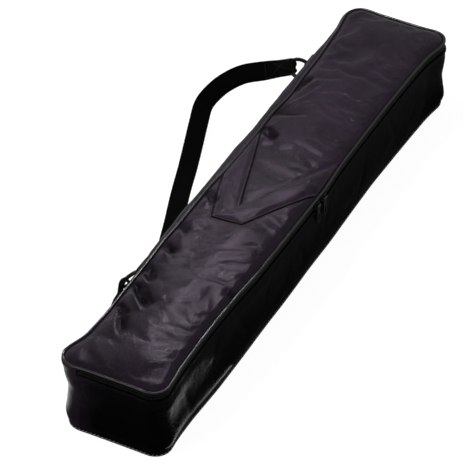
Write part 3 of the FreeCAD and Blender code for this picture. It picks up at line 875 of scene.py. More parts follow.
class AlongPath:
    """A Geometry Nodes tree that lays small rounded lengths along a path."""

    INPUTS = (
        ("Path", "NodeSocketGeometry", None),
        ("Spacing", "NodeSocketFloat", 0.003),
        ("Length", "NodeSocketFloat", 0.002),
        ("Width", "NodeSocketFloat", 0.0006),
        ("Height", "NodeSocketFloat", 0.0004),
        ("Lean", "NodeSocketFloat", 0.0),
        ("Scatter", "NodeSocketFloat", 0.0),
        ("Seed", "NodeSocketInt", 7),
        ("Material", "NodeSocketMaterial", None),
    )

    def __init__(self) -> None:
        """Makes the tree with its named inputs."""
        self.tree = bpy.data.node_groups.new("along_path", "GeometryNodeTree")
        self.sockets = {}
        for name, kind, default in self.INPUTS:
            socket = self.tree.interface.new_socket(name, in_out="INPUT", socket_type=kind)
            if default is not None:
                socket.default_value = default
            self.sockets[name] = socket.identifier
        self.tree.interface.new_socket("Geometry", in_out="OUTPUT", socket_type="NodeSocketGeometry")
        self._build()

    def _node(self, kind: str, settings: dict, inputs: dict, output: int = 0) -> bpy.types.NodeSocket:
        """Adds a node to the tree and gives one of its outputs."""
        return add_node(self.tree, kind, settings, inputs).outputs[output]

    def _build(self) -> None:
        """Lays one squashed ball at each step of the path, turned along it and away from the cloth."""
        given = add_node(self.tree, "NodeGroupInput", {}, {}).outputs
        curve = self._node("GeometryNodeMeshToCurve", {}, {"Mesh": given["Path"]})
        steps = self._node("GeometryNodeResampleCurve", {"mode": "LENGTH"}, {
            "Curve": curve, "Length": given["Spacing"]})
        out = self._node("GeometryNodeInputNamedAttribute", {"data_type": "FLOAT_VECTOR"}, {"Name": "out"})
        along = self._node("GeometryNodeInputTangent", {}, {})
        turn = self._node("FunctionNodeAxesToRotation", {"primary_axis": "Z", "secondary_axis": "X"}, {
            "Primary Axis": out, "Secondary Axis": along})
        back = self._node("ShaderNodeMath", {"operation": "MULTIPLY"}, {0: given["Scatter"], 1: -1.0})
        jitter = self._node("FunctionNodeRandomValue", {"data_type": "FLOAT"}, {
            2: back, 3: given["Scatter"], "Seed": given["Seed"]}, 1)
        swing = self._node("ShaderNodeMath", {"operation": "ADD"}, {0: jitter, 1: given["Lean"]})
        lean = self._node("FunctionNodeAxisAngleToRotation", {}, {"Axis": (0, 0, 1), "Angle": swing})
        turned = self._node("FunctionNodeRotateRotation", {"rotation_space": "LOCAL"}, {
            "Rotation": turn, "Rotate By": lean})
        size = self._node("ShaderNodeCombineXYZ", {}, {
            "X": given["Length"], "Y": given["Width"], "Z": given["Height"]})
        ball = self._node("GeometryNodeMeshUVSphere", {}, {"Segments": 6, "Rings": 5, "Radius": 0.5})
        laid = self._node("GeometryNodeInstanceOnPoints", {}, {
            "Points": steps, "Instance": ball, "Rotation": turned, "Scale": size})
        real = self._node("GeometryNodeRealizeInstances", {}, {"Geometry": laid})
        smooth = self._node("GeometryNodeSetShadeSmooth", {}, {"Geometry": real})
        dressed = self._node("GeometryNodeSetMaterial", {}, {
            "Geometry": smooth, "Material": given["Material"]})
        add_node(self.tree, "NodeGroupOutput", {}, {"Geometry": dressed})

    def lay(self, name: str, paths: Sequence[Path], stitch: Stitch,
            material: Material) -> Piece:
        """Lays the tree's lengths along paths and returns them as one plain mesh.

        Args:
            name: The piece's name.
            paths: For each path its points and outward vectors, and whether it closes.
            stitch: The lengths' sizes.
            material: Their material.

        Returns:
            The new object.
        """
        points, outs, edges = [], [], []
        for path, out, closed in paths:
            first = sum(len(p) for p in points)
            count = len(path)
            edges += [(first + i, first + (i + 1) % count) for i in range(count if closed else count - 1)]
            points.append(path)
            outs.append(np.broadcast_to(out, path.shape))
        mesh = bpy.data.meshes.new(name)
        mesh.from_pydata((np.concatenate(points) * MM).tolist(), edges, [])
        attribute = mesh.attributes.new("out", "FLOAT_VECTOR", "POINT")
        attribute.data.foreach_set("vector", np.concatenate(outs).astype(np.float32).ravel())
        piece = link(name, mesh)
        modifier = piece.modifiers.new("lengths", "NODES")
        modifier.node_group = self.tree
        inputs = {"Spacing": stitch.spacing * MM, "Length": stitch.length * MM, "Width": stitch.width * MM,
                  "Height": stitch.height * MM, "Scatter": stitch.scatter, "Lean": stitch.lean,
                  "Seed": stitch.seed, "Material": material}
        for key, value in inputs.items():
            modifier[self.sockets[key]] = value
        graph = bpy.context.evaluated_depsgraph_get()
        result = bpy.data.meshes.new_from_object(piece.evaluated_get(graph))
        piece.modifiers.clear()
        piece.data = result
        return piece


# ---- the shell

@dataclass(frozen=True)
class WallRelief:
    """How far a wall's cloth stands off its drawn face: slack, creases and the roll of a sewn fold.

    Low and high are its edges, fold is the height of a sewn fold, and toe is where along the wall a bulge
    over the base starts and ends, and how far it stands out.
    """

    low: float
    high: float
    seed: int
    slack: float = 1.1
    creases: tuple[Crease, ...] = ()
    fold: Optional[float] = None
    toe: tuple[float, float, float] = (0.0, 0.0, 0.0)

    def __call__(self, along: Array, z: Array) -> Array:
        """The cloth's stand-off at each place along the wall and height, never below zero."""
        broad = Ripple(self.seed, (74.0, 30.0))
        middle = Ripple(self.seed + 1, (25.0, 15.0), 18)
        small = Ripple(self.seed + 2, (9.0, 7.0), -25)
        top = self.high if self.fold is None else self.fold - 4.2
        free = smoothstep((z - self.low) / 14) * smoothstep((top - z) / 11)
        lift = 0.25 + free * (self.slack * (1 + 0.8 * broad(along, z) + 0.45 * middle(along, z))
                              + 0.16 * small(along, z) + sum(c.lift(along, z) for c in self.creases))
        start, end, size = self.toe
        reach = smoothstep((along - start) / 70) * smoothstep((end - along) / 50)
        lift = lift + size * reach * np.sin(np.pi * np.clip((z - self.low) / 34, 0, 1)) ** 1.4
        if self.fold is not None:
            roll = np.sqrt(np.clip(1 - ((z - self.fold + 1.7) / 1.7) ** 2, 0, 1))
            lift = lift + 1.5 * roll - 0.25 * np.exp(-(((z - self.fold + 4.6) / 0.9) ** 2))
        pucker = 0.22 * Ripple(self.seed + 3, (4.2, 30.0))(along, z)
        hem = np.exp(-np.abs(z - self.low) / 5) + np.exp(-np.abs(self.high - 5 - z) / 5)
        return np.maximum(lift + pucker * hem, 0.02)


class Workshop:
    """What every assembly works with: the outline, the soft form, the finishes and the stitches."""

    CORNER_RADIUS = 24.0

    def __init__(self) -> None:
        """Reads the frame and makes the finishes and the tree for stitches."""
        corner = node_box("lid_welt")[1]
        self.outline = Outline(corner[0], corner[1], self.CORNER_RADIUS)
        self.form = SoftForm(self.outline)
        self.palette = Palette()
        self.along = AlongPath()

    def inset(self, node: str) -> float:
        """How far inside the outline a frame node's outer face lies."""
        return self.outline.half_x - node_box(node)[1, 0]

    def sew(self, name: str, paths: Sequence[Path], stitch: Stitch, body: str,
            material: Material, slot: str, replaces: Sequence[str] = ()) -> None:
        """Lays stitches or teeth along paths and finishes them as one piece."""
        finish_piece(self.along.lay(name, paths, stitch, material), body, material, slot, replaces)

    def ply(self, name: str, run: Run, inset: float, thickness: float, low: float, high: float,
            relief: Optional[WallRelief] = None, step: float = 3.0) -> Piece:
        """A closed ply that stands along a run of the case's sides.

        Args:
            name: The piece's name.
            run: The sides that it covers.
            inset: Its outer face's inset.
            thickness: Its thickness.
            low: Its lower edge.
            high: Its upper edge.
            relief: How far its outer face stands off.
            step: The height of one row of faces.

        Returns:
            The new object.
        """
        outer, normals = self.outline.stations(run, inset)
        inner, _ = self.outline.stations(run, inset + thickness)
        along = run_length(outer)
        z = heights(low, high, step)
        lift = np.zeros((len(along), len(z)))
        if relief is not None:
            fade = smoothstep(np.minimum(along, along[-1] - along) / 10)[:, None]
            lift = relief(along[:, None], z[None, :]) * (1 if run is Run.ROUND else fade)
        face = outer[:, None, :] + normals[:, None, :] * lift[..., None]
        back = np.repeat(inner[:, None, :], len(z), 1)
        level = np.broadcast_to(np.concatenate([z, z[::-1]]), (len(along), 2 * len(z)))
        grid = np.concatenate([np.concatenate([face, back], 1), level[..., None]], -1)
        uv = np.stack([np.broadcast_to(along[:, None], level.shape), level], -1)
        return swept(name, self.form.settle(grid), run is Run.ROUND, uv)

    def piping(self, name: str, inset: float, z: float, radius: float) -> Piece:
        """A cord round the case.

        Args:
            name: The piece's name.
            inset: Its middle line's inset.
            z: Its middle line's height.
            radius: Its radius.

        Returns:
            The new object.
        """
        points, normals = self.outline.stations(Run.ROUND, inset)
        turns = circle(12)
        uneven = Ripple(41, (7.0, 7.0))(points[:, 0] + 2 * points[:, 1], points[:, 1])
        swell = radius * (1 + 0.03 * uneven)[:, None]
        plan = points[:, None, :] + normals[:, None, :] * (np.cos(turns) * swell)[..., None]
        grid = np.concatenate([plan, (z + np.sin(turns) * swell)[..., None]], -1)
        return swept(name, self.form.settle(grid), True)

    def rail(self, run: Run, inset: float, z: float) -> Path:
        """Points along the case's sides, their outward vectors, and whether the path closes."""
        points, normals = self.outline.stations(run, inset)
        return self.form.settle(raised(points, z)), raised(normals, 0.0), run is Run.ROUND

    def panel(self, name: str, inset: float, low: float, high: float, columns: int = 30) -> Piece:
        """A flat ply that fills the case's outline.

        Args:
            name: The piece's name.
            inset: Its edge's inset.
            low: Its lower face.
            high: Its upper face.
            columns: How many points lie across it.

        Returns:
            The new object.
        """
        x, y = self.outline.panel(inset, columns)
        plies = [self.form.settle(np.stack([x, y, np.full_like(x, z)], -1)) for z in (high, low)]
        return slab(name, *plies)

    def pad(self, name: str, node: str, spare: float = 0.35, rounding: float = 1.2) -> Piece:
        """A foam board in the space of its frame node, with softly rounded edges.

        Args:
            name: The piece's name.
            node: The frame node.
            spare: The air round the board.
            rounding: The radius of its edges.

        Returns:
            The new object.
        """
        low, high = node_box(node) + np.array([[spare], [-spare]])
        long = 1 if high[1] - low[1] > high[0] - low[0] else 0
        thin = 1 - long
        share = np.linspace(0, 1, 90 if long else 24)
        places = low[long] + (high[long] - low[long]) * share
        z = heights(low[2], high[2], 6.0)
        shrink = np.minimum(np.minimum(z - low[2], high[2] - z), rounding)
        bow = rounding - np.sqrt(np.maximum(rounding**2 - (rounding - shrink) ** 2, 0))
        column = np.concatenate([low[thin] + bow, (high[thin] - bow)[::-1]])
        grid = np.zeros((len(places), 2 * len(z), 3))
        grid[..., long], grid[..., thin] = places[:, None], column[None, :]
        grid[..., 2] = np.concatenate([z, z[::-1]])[None, :]
        return swept(name, self.form.settle(grid), False)

    @staticmethod
    def softened(node: str, name: str, width: float, segments: int = 2) -> Piece:
        """A copy of a hard frame node with its edges rounded.

        Args:
            node: The frame node.
            name: The piece's name.
            width: How wide the rounding is.
            segments: How many faces lie across it.

        Returns:
            The new object.
        """
        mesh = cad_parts[node].data.copy()
        mesh.name = name
        work = bmesh.new()
        work.from_mesh(mesh)
        bmesh.ops.remove_doubles(work, verts=work.verts, dist=1e-6)
        bmesh.ops.dissolve_limit(work, angle_limit=math.radians(4), verts=work.verts, edges=work.edges)
        edges = [e for e in work.edges if e.is_manifold and e.calc_face_angle(0) > math.radians(28)]
        bmesh.ops.bevel(work, geom=edges, offset=width * MM, segments=segments, profile=0.5,
                        affect="EDGES", clamp_overlap=True)
        work.to_mesh(mesh)
        work.free()
        mesh.shade_smooth()
        mesh.set_sharp_from_angle(angle=math.radians(40))
        return link(name, mesh)


@dataclass
class Assembly:
    """A part of the case that is made in one go."""

    shop: Workshop

    @property
    def finish(self) -> Palette:
        """Every finish of the case."""
        return self.shop.palette

    def settle(self, points: Array) -> Array:
        """Points of the drawn case where the soft case has them."""
        return self.shop.form.settle(points)


@dataclass
class Base(Assembly):
    """The floor panel with its stiffener, padding, lining, piping and whip stitches."""

    clear: float = 0.1
    lift: float = 0.02
    foam_side: float = 0.3
    foam_face: float = 0.05
    panel_inset: float = 3.0
    cord_inset: float = 0.2
    cord_sink: float = 0.3
    cord_slack: float = 0.4
    whip: Stitch = Stitch(5.2, 4.2, 1.25, 1.0, 3, scatter=0.16, lean=0.8)

    def build(self) -> None:
        """Makes every piece of the base."""
        shop, finish = self.shop, self.finish
        flat = (
            ("base_panel", self.panel_inset, finish.under, "side_fabric", "base_skin"),
            ("base_stiffener", shop.inset("base_board"), finish.board, "stiffener", "base_board"),
            ("base_bed_lining", shop.inset("base_lining"), finish.lining, "lining_cloth", "base_lining"),
        )
        for name, inset, material, slot, node in flat:
            box = node_box(node)
            piece = shop.panel(name, inset + self.clear, box[0, 2] + self.lift, box[1, 2])
            finish_piece(piece, "case", material, slot, [node])
        foam = node_box("base_foam")
        pad = shop.panel("base_padding", shop.inset("base_foam") + self.foam_side,
                         foam[0, 2] + self.foam_face, foam[1, 2] - self.foam_face)
        finish_piece(pad, "case", finish.foam, "padding", ["base_foam"])
        welt = node_box("base_welt")
        radius = (welt[1, 2] - welt[0, 2]) / 2
        cord = shop.piping("base_piping", radius - self.cord_inset, radius - self.cord_sink,
                           radius - self.cord_slack)
        finish_piece(cord, "case", finish.welt, "welt_cord", ["base_welt"])
        path = shop.rail(Run.ROUND, radius - 1.3, radius + 0.85)
        shop.sew("base_stitches", [path], self.whip, "case", finish.whip, "welt_cord")


@dataclass
class Walls(Assembly):
    """The gusset: outer cloth, foam boards and lining."""

    CREASES = Crease.rows(
        (430, 62, 118, 46, 5.0, -1.0), (505, 58, 62, 52, 6.0, -1.1), (585, 66, 125, 40, 5.0, -0.9),
        (655, 55, 60, 56, 6.0, -1.2), (720, 60, 115, 44, 5.0, -1.0), (790, 44, 82, 60, 7.0, -1.0),
        (250, 60, 70, 50, 6.0, -0.9), (330, 52, 112, 54, 6.0, -0.9),
    )
    cloth: float = 0.9
    ease: float = 0.1
    overlap: float = 0.6
    tuck: float = 3.4
    tuck_height: float = 98.9
    pucker: float = 2.7
    stitch: Stitch = Stitch(3.4, 2.5, 0.55, 0.6, 5, scatter=0.06)
    stitch_drop: float = 4.6
    stitch_rise: float = 0.12

    def build(self) -> None:
        """Makes every piece of the walls."""
        self._cloth()
        self._boards()
        self._lining()

    def _cloth(self) -> None:
        """The outer cloth with its creases, and the stitches below its folded upper edges."""
        shop, finish, box = self.shop, self.finish, node_box("gusset_zip_side")
        inset, low, high = shop.inset("gusset_zip_side"), box[0, 2] - self.overlap, box[1, 2]
        relief = WallRelief(low, high, 17, 1.5, self.CREASES, high, (560.0, 850.0, 1.2))
        cloth = shop.ply("wall_cloth_zipped", Run.ZIPPED, inset + self.ease, self.cloth, low, high, relief)
        finish_piece(cloth, "case", finish.side, "side_fabric", ["gusset_zip_side"])
        # Painted light: the hinge-side wall is dressed in the lighter lid cloth because light falls on that
        # side.
        finish_piece(self._shouldered(), "case", finish.top, "side_fabric", ["gusset_hinge_side"])
        path = shop.rail(Run.ZIPPED, inset - self.stitch_rise, high - self.stitch_drop)
        shop.sew("wall_stitches", [path], self.stitch, "case", finish.thread, "side_fabric")

    def _shouldered(self) -> Piece:
        """The hinge side's cloth, which rolls over a padded shoulder and dives under the lid's edge."""
        shop, box = self.shop, node_box("gusset_hinge_side")
        inset = shop.inset("gusset_zip_side") + self.ease
        low, top = box[0, 2] - self.overlap, shop.form.SHOULDER
        outer, normals = shop.outline.stations(Run.HINGED, inset)
        inner, _ = shop.outline.stations(Run.HINGED, inset + self.cloth)
        tucked, _ = shop.outline.stations(Run.HINGED, self.tuck)
        along = run_length(outer)
        z = heights(low, top, 3.0, (0.8, 2.0))
        fade = smoothstep(np.minimum(along, along[-1] - along) / 14)[:, None]
        lift = WallRelief(low, top + 9, 29, 0.9)(along[:, None], z[None, :]) * fade
        level = np.broadcast_to(z, lift.shape)
        drawn = outer[:, None] + normals[:, None] * lift[..., None]
        face = self.settle(np.concatenate([drawn, level[..., None]], -1))
        seam = self.settle(raised(tucked, self.tuck_height))
        start, reach = face[:, -1], seam - face[:, -1]
        span = np.linalg.norm(reach[:, :2], axis=1)
        turns = np.linspace(0, np.pi, 14)[1:]
        share = (1 - np.cos(turns)) / 2
        swell = 1 + 0.25 * Ripple(33, (16.0, 9.0))(along, along * 0)
        rise = np.sin(turns)[None, :] * np.minimum(span * 0.24, 2.6)[:, None] * swell[:, None]
        roll = start[:, None] + reach[:, None] * share[None, :, None]
        roll[..., 2] += rise
        under = roll[:, ::-1] - self.cloth * UP
        back = self.settle(np.concatenate([np.repeat(inner[:, None], len(z), 1), level[..., None]], -1))
        grid = np.concatenate([face, roll, under[:, :-2], back[:, ::-1]], 1)
        uv = np.stack(np.broadcast_arrays(along[:, None], np.arange(grid.shape[1])[None, :] * 3.0), -1)
        return swept("wall_cloth_hinged", grid, False, uv)

    def _boards(self) -> None:
        """The foam boards inside the cloth."""
        for side in ("right", "left", "far", "near"):
            node = f"gusset_foam_{side}"
            board = self.shop.pad(f"wall_padding_{side}", node)
            finish_piece(board, "case", self.finish.foam, "padding", [node])

    def _lining(self) -> None:
        """The lining, turned over the boards' upper edges."""
        box, inset = node_box("gusset_lining"), self.shop.inset("base_board")
        outer, _ = self.shop.outline.stations(Run.ROUND, inset - 0.7)
        inner, _ = self.shop.outline.stations(Run.ROUND, inset - 0.2)
        turned, _ = self.shop.outline.stations(Run.ROUND, self.shop.inset("zip_tape_case") + 1.0)
        low, high = box[0, 2] + 0.05, box[1, 2]
        z = heights(low, high - 0.6, 6.0)
        along = np.arange(len(outer))[:, None] * self.pucker
        sag = 0.35 * Ripple(61, (40.0, 25.0))(along, z[None, :]) + 0.1
        _, normals = self.shop.outline.stations(Run.ROUND, inset)
        faces = [inner - normals * np.maximum(low_sag, 0)[:, None] for low_sag in sag.T]
        rows = [raised(outer, level) for level in z]
        rows += [raised(turned, high - 0.55), raised(turned, high), raised(inner, high)]
        rows += [raised(face, level) for face, level in zip(faces[::-1], z[::-1])]
        grid = np.stack(rows, 1)
        uv = np.stack([np.broadcast_to(along, grid.shape[:2]), grid[..., 2]], -1)
        lining = swept("wall_lining", self.settle(grid), True, uv)
        finish_piece(lining, "case", self.finish.lining, "lining_cloth", ["gusset_lining"])


@dataclass
class Zipper(Assembly):
    """The zipper: two tapes, interlocking teeth, stops, two sliders and their pulls."""

    teeth: Stitch = Stitch(1.6, 0.86, 3.3, 2.2, 11)
    tape: float = 0.7
    tape_row: float = 1.2
    tape_past_chain: float = 0.5
    chain_apart: float = 0.25
    chain_inset: float = 0.1

    def build(self) -> None:
        """Makes every piece of the zipper."""
        case_z, lid_z = (node_box(f"zip_coil_{body}")[:, 2].mean() for body in ("case", "lid"))
        self._side("case", node_box("zip_tape_case")[0, 2], case_z + self.tape_past_chain,
                   case_z + self.chain_apart, 0.0)
        self._side("lid", lid_z - self.tape_past_chain, node_box("zip_tape_lid")[1, 2],
                   lid_z - self.chain_apart, 0.5)
        metal = [("zip_stops", "zip_end_stops", "case", 0.35, 2)]
        for side in ("near", "far"):
            metal += [(f"slider_{side}", f"zip_slider_{side}", f"{side}_slider", 0.28, 3),
                      (f"pull_tab_{side}", f"zip_pull_{side}", f"{side}_pull", 0.3, 3)]
        for node, name, body, rounding, segments in metal:
            piece = self.shop.softened(node, name, rounding, segments)
            finish_piece(piece, body, self.finish.metal, "black_metal", [node])

    def _side(self, body: str, low: float, high: float, chain: float, phase: float) -> None:
        """One tape with its row of teeth.

        Args:
            body: The body that it rides on.
            low: The tape's lower edge.
            high: The tape's upper edge.
            chain: The height of the teeth's middle.
            phase: How much of a pitch the teeth are moved along.
        """
        shop, finish = self.shop, self.finish
        inset = shop.inset("zip_tape_case")
        tape = shop.ply(f"zip_tape_{body}_side", Run.ZIPPED, inset, self.tape, low, high,
                        step=self.tape_row)
        finish_piece(tape, body, finish.tape, "zip_tape", [f"zip_tape_{body}"])
        path, out, closed = shop.rail(Run.ZIPPED, inset + self.chain_inset, chain)
        path[0] += unit(path[1] - path[0]) * self.teeth.spacing * phase
        shop.sew(f"zip_teeth_{body}_side", [(path, out, closed)], self.teeth, body, finish.coil,
                 "zip_coil", [f"zip_coil_{body}"])


# ---- the lid

def shifted(points: Sequence[Pair], distance: float) -> Array:
    """An open path moved to its left, with mitred corners."""
    path = np.array(points, float)
    ways = unit(np.diff(path, axis=0))
    left = np.stack([-ways[:, 1], ways[:, 0]], -1)
    before, after = np.concatenate([left[:1], left]), np.concatenate([left, left[-1:]])
    middle = unit(before + after)
    return path + middle * (distance / np.sum(middle * after, -1, keepdims=True))


@dataclass(frozen=True)
class Chevron:
    """The band sewn across the lid in a V, its point cut off square."""

    reach: float
    width: float = 33.0
    apex: Pair = (-9.0, -43.0)
    right: float = 62.0
    left: float = 110.0
    toe: float = 33.0
    thickness: float = 0.95
    seam: float = 2.6

    def _outer(self, angle: float, side: int) -> Pair:
        """A point of an arm's outer edge, square across from the apex."""
        turn = math.radians(angle)
        return (self.apex[0] + side * self.width * math.sin(turn),
                self.apex[1] - side * self.width * math.cos(turn))

    @staticmethod
    def _at_x(point: Pair, angle: float, x: float) -> Pair:
        """Where a line through a point reaches x."""
        return (x, point[1] + (x - point[0]) * math.tan(math.radians(angle)))

    @staticmethod
    def _at_y(point: Pair, angle: float, y: float) -> Pair:
        """Where a line through a point reaches y."""
        return (point[0] + (y - point[1]) / math.tan(math.radians(angle)), y)

    @property
    def inner(self) -> list[Pair]:
        """The V's inner edge, from right to left."""
        return [self._at_x(self.apex, self.right, self.reach), self.apex,
                self._at_x(self.apex, self.left, -self.reach)]

    @property
    def outer(self) -> list[Pair]:
        """The V's outer edge, from right to left."""
        right, left = self._outer(self.right, 1), self._outer(self.left, -1)
        toe = self.apex[1] - self.toe
        return [self._at_x(right, self.right, self.reach), self._at_y(right, self.right, toe),
                self._at_y(left, self.left, toe), self._at_x(left, self.left, -self.reach)]

    @property
    def seams(self) -> tuple[Polyline, ...]:
        """The rows of stitches just inside both edges."""
        rows = (shifted(self.inner, self.seam), shifted(self.outer, -self.seam))
        return tuple(Polyline(tuple(map(tuple, row))) for row in rows)

    @property
    def bound(self) -> tuple[Polyline, ...]:
        """The edges that dark tape binds: the whole outer one and the inner one's left arm."""
        return Polyline(tuple(self.outer)), Polyline(tuple(self.inner[1:]))

    def _distance(self, x: Array, y: Array) -> Array:
        """How far each point of the band lies from its nearer edge."""
        return np.minimum(*(Polyline(tuple(edge)).distance(x, y) for edge in (self.inner, self.outer)))

    def _patch(self, corners: Sequence[Pair], rows: int, columns: int) -> tuple[Array, Array]:
        """Points and faces of a four-sided piece of the band.

        Args:
            corners: Its corners, the first two on the band's inner and outer edge.
            rows: Points along the band.
            columns: Points across it.

        Returns:
            The points in plan, and the faces as indices of them.
        """
        a, b, c, d = (np.array(corner) for corner in corners)
        u, v = np.meshgrid(np.linspace(0, 1, rows), self._spread(columns), indexing="ij")
        u, v = u[..., None], v[..., None]
        points = (a * (1 - v) + b * v) * (1 - u) + (d * (1 - v) + c * v) * u
        return points.reshape(-1, 2), quads(rows, columns)

    def _spread(self, columns: int) -> Array:
        """Places across the band, closer together beside its edges."""
        edge = np.array([0, 0.3, 0.8, 1.6, 2.1, 2.6, 3.1, 3.8]) / self.width
        return np.concatenate([edge, np.linspace(0.17, 0.83, columns - 16), 1 - edge[::-1]])

    def mesh(self, surface: Callable[[Array, Array], Array]) -> tuple[Array, list]:
        """The band laid on a surface.

        Args:
            surface: The height of what it lies on.

        Returns:
            Its vertices and faces, as a closed solid.
        """
        (right_end, apex, left_end), (right_out, right_toe, left_toe, left_out) = self.inner, self.outer
        patches = [
            self._patch((apex, right_toe, right_out, right_end), 60, 30),
            self._patch((apex, left_toe, left_out, left_end), 60, 30),
            self._patch((apex, left_toe, right_toe, apex), 24, 30),
        ]
        work = bmesh.new()
        for points, faces in patches:
            corners = [work.verts.new((x, y, 0)) for x, y in points]
            for face in faces:
                work.faces.new([corners[k] for k in face])
        bmesh.ops.remove_doubles(work, verts=work.verts, dist=0.01)
        bmesh.ops.dissolve_degenerate(work, dist=0.01, edges=work.edges)
        upper = bmesh.ops.extrude_face_region(work, geom=work.faces[:])["geom"]
        for element in upper:
            if isinstance(element, bmesh.types.BMVert):
                element.co.z = 1.0
        work.verts.index_update()
        points = np.array([v.co[:] for v in work.verts])
        faces = [[v.index for v in f.verts] for f in work.faces]
        work.free()
        x, y = points[:, 0], points[:, 1]
        gap = self._distance(x, y)
        groove = 0.4 * np.exp(-(((gap - self.seam) / 0.8) ** 2))
        rise = self.thickness * (0.35 + 0.65 * np.sqrt(np.clip(gap / 1.2, 0, 1))) - groove
        puff = 0.5 * np.clip((gap - self.seam) / 5, 0, 1) ** 0.7
        top = surface(x, y) + np.where(points[:, 2] > 0.5, rise + puff, 0.04)
        return np.stack([x, y, top], -1), faces


class LooseCloth:
    """Wrinkles of a panel cut a little larger than its frame, from a short cloth simulation."""

    FRAMES = 20
    COLUMNS = 37
    EXTRA = 0.014
    CAP = 0.5
    PIN = 6.0
    SWELL = 46.0
    FABRIC = {
        "quality": 6, "mass": 0.25, "air_damping": 6.0, "tension_stiffness": 22.0,
        "compression_stiffness": 22.0, "shear_stiffness": 8.0, "bending_stiffness": 0.35,
        "shrink_min": -EXTRA, "shrink_max": -EXTRA, "use_pressure": True, "uniform_pressure_force": 1.2,
        "vertex_group_mass": "held", "pin_stiffness": 4.0,
    }

    def __init__(self, outline: Outline, inset: float, height: Callable[[Array, Array], Array]) -> None:
        """Args:
            outline: The case's outline.
            inset: How far inwards the cloth is held.
            height: The shape that the cloth starts from.
        """
        self.outline, self.inset = outline, inset
        self.x, self.y = outline.panel(inset, self.COLUMNS)
        self.rows = self.y[:, 0]
        self.lift = np.zeros_like(self.x)
        start = height(self.x, self.y)
        self.lift = self._smooth(self._settle(start) - start)

    def _settle(self, start: Array) -> Array:
        """The simulated cloth's height at each point of the grid."""
        points = np.stack([self.x, self.y, start], -1).reshape(-1, 3) * MM
        mesh = bpy.data.meshes.new("loose_cloth")
        mesh.from_pydata(points.tolist(), [], quads(*self.x.shape).tolist())
        cloth = link("loose_cloth", mesh)
        hold = cloth.vertex_groups.new(name="held")
        depth = self.outline.depth(self.x, self.y).ravel() - self.inset
        for index in np.flatnonzero(depth < self.PIN):
            hold.add([int(index)], float(1 - max(depth[index], 0) / self.PIN), "REPLACE")
        modifier = cloth.modifiers.new("loosen", "CLOTH")
        for name, value in self.FABRIC.items():
            setattr(modifier.settings, name, value)
        modifier.settings.effector_weights.gravity = 0.0
        modifier.collision_settings.use_collision = False
        scene = bpy.context.scene
        for step in range(1, self.FRAMES + 1):
            scene.frame_set(step)
        settled = cloth.evaluated_get(bpy.context.evaluated_depsgraph_get())
        places = np.zeros(points.size)
        settled.data.vertices.foreach_get("co", places)
        scene.frame_set(1)
        bpy.data.objects.remove(cloth)
        return places.reshape(*self.x.shape, 3)[..., 2] / MM

    def _smooth(self, lift: Array) -> Array:
        """The rise without its broad swell, softly capped."""
        spacing = np.abs(np.gradient(self.rows)).mean()
        broad = lift.copy()
        for axis, reach in ((0, self.SWELL / spacing),
                            (1, self.SWELL * self.COLUMNS / (2 * self.outline.half_x))):
            kernel = np.hanning(2 * int(reach) + 3)
            kernel /= kernel.sum()
            pad = [(0, 0), (0, 0)]
            pad[axis] = (len(kernel) // 2,) * 2
            wide = np.pad(broad, pad, mode="reflect")
            broad = np.apply_along_axis(lambda line: np.convolve(line, kernel, "valid"), axis, wide)
        LOG.info("loose cloth from %.1f to %.1f mm", lift.min(), lift.max())
        return self.CAP * np.tanh((lift - broad) / self.CAP)

    def __call__(self, x: Array, y: Array) -> Array:
        """The cloth's rise at each point."""
        flat_x, flat_y = np.ravel(x), np.ravel(y)
        reach = np.interp(flat_y, self.rows, self.x[:, -1])
        i = np.interp(flat_y, self.rows, np.arange(len(self.rows)))
        j = np.clip((flat_x / reach + 1) / 2, 0, 1) * (self.COLUMNS - 1)
        return between(self.lift, i, j).reshape(np.shape(x))


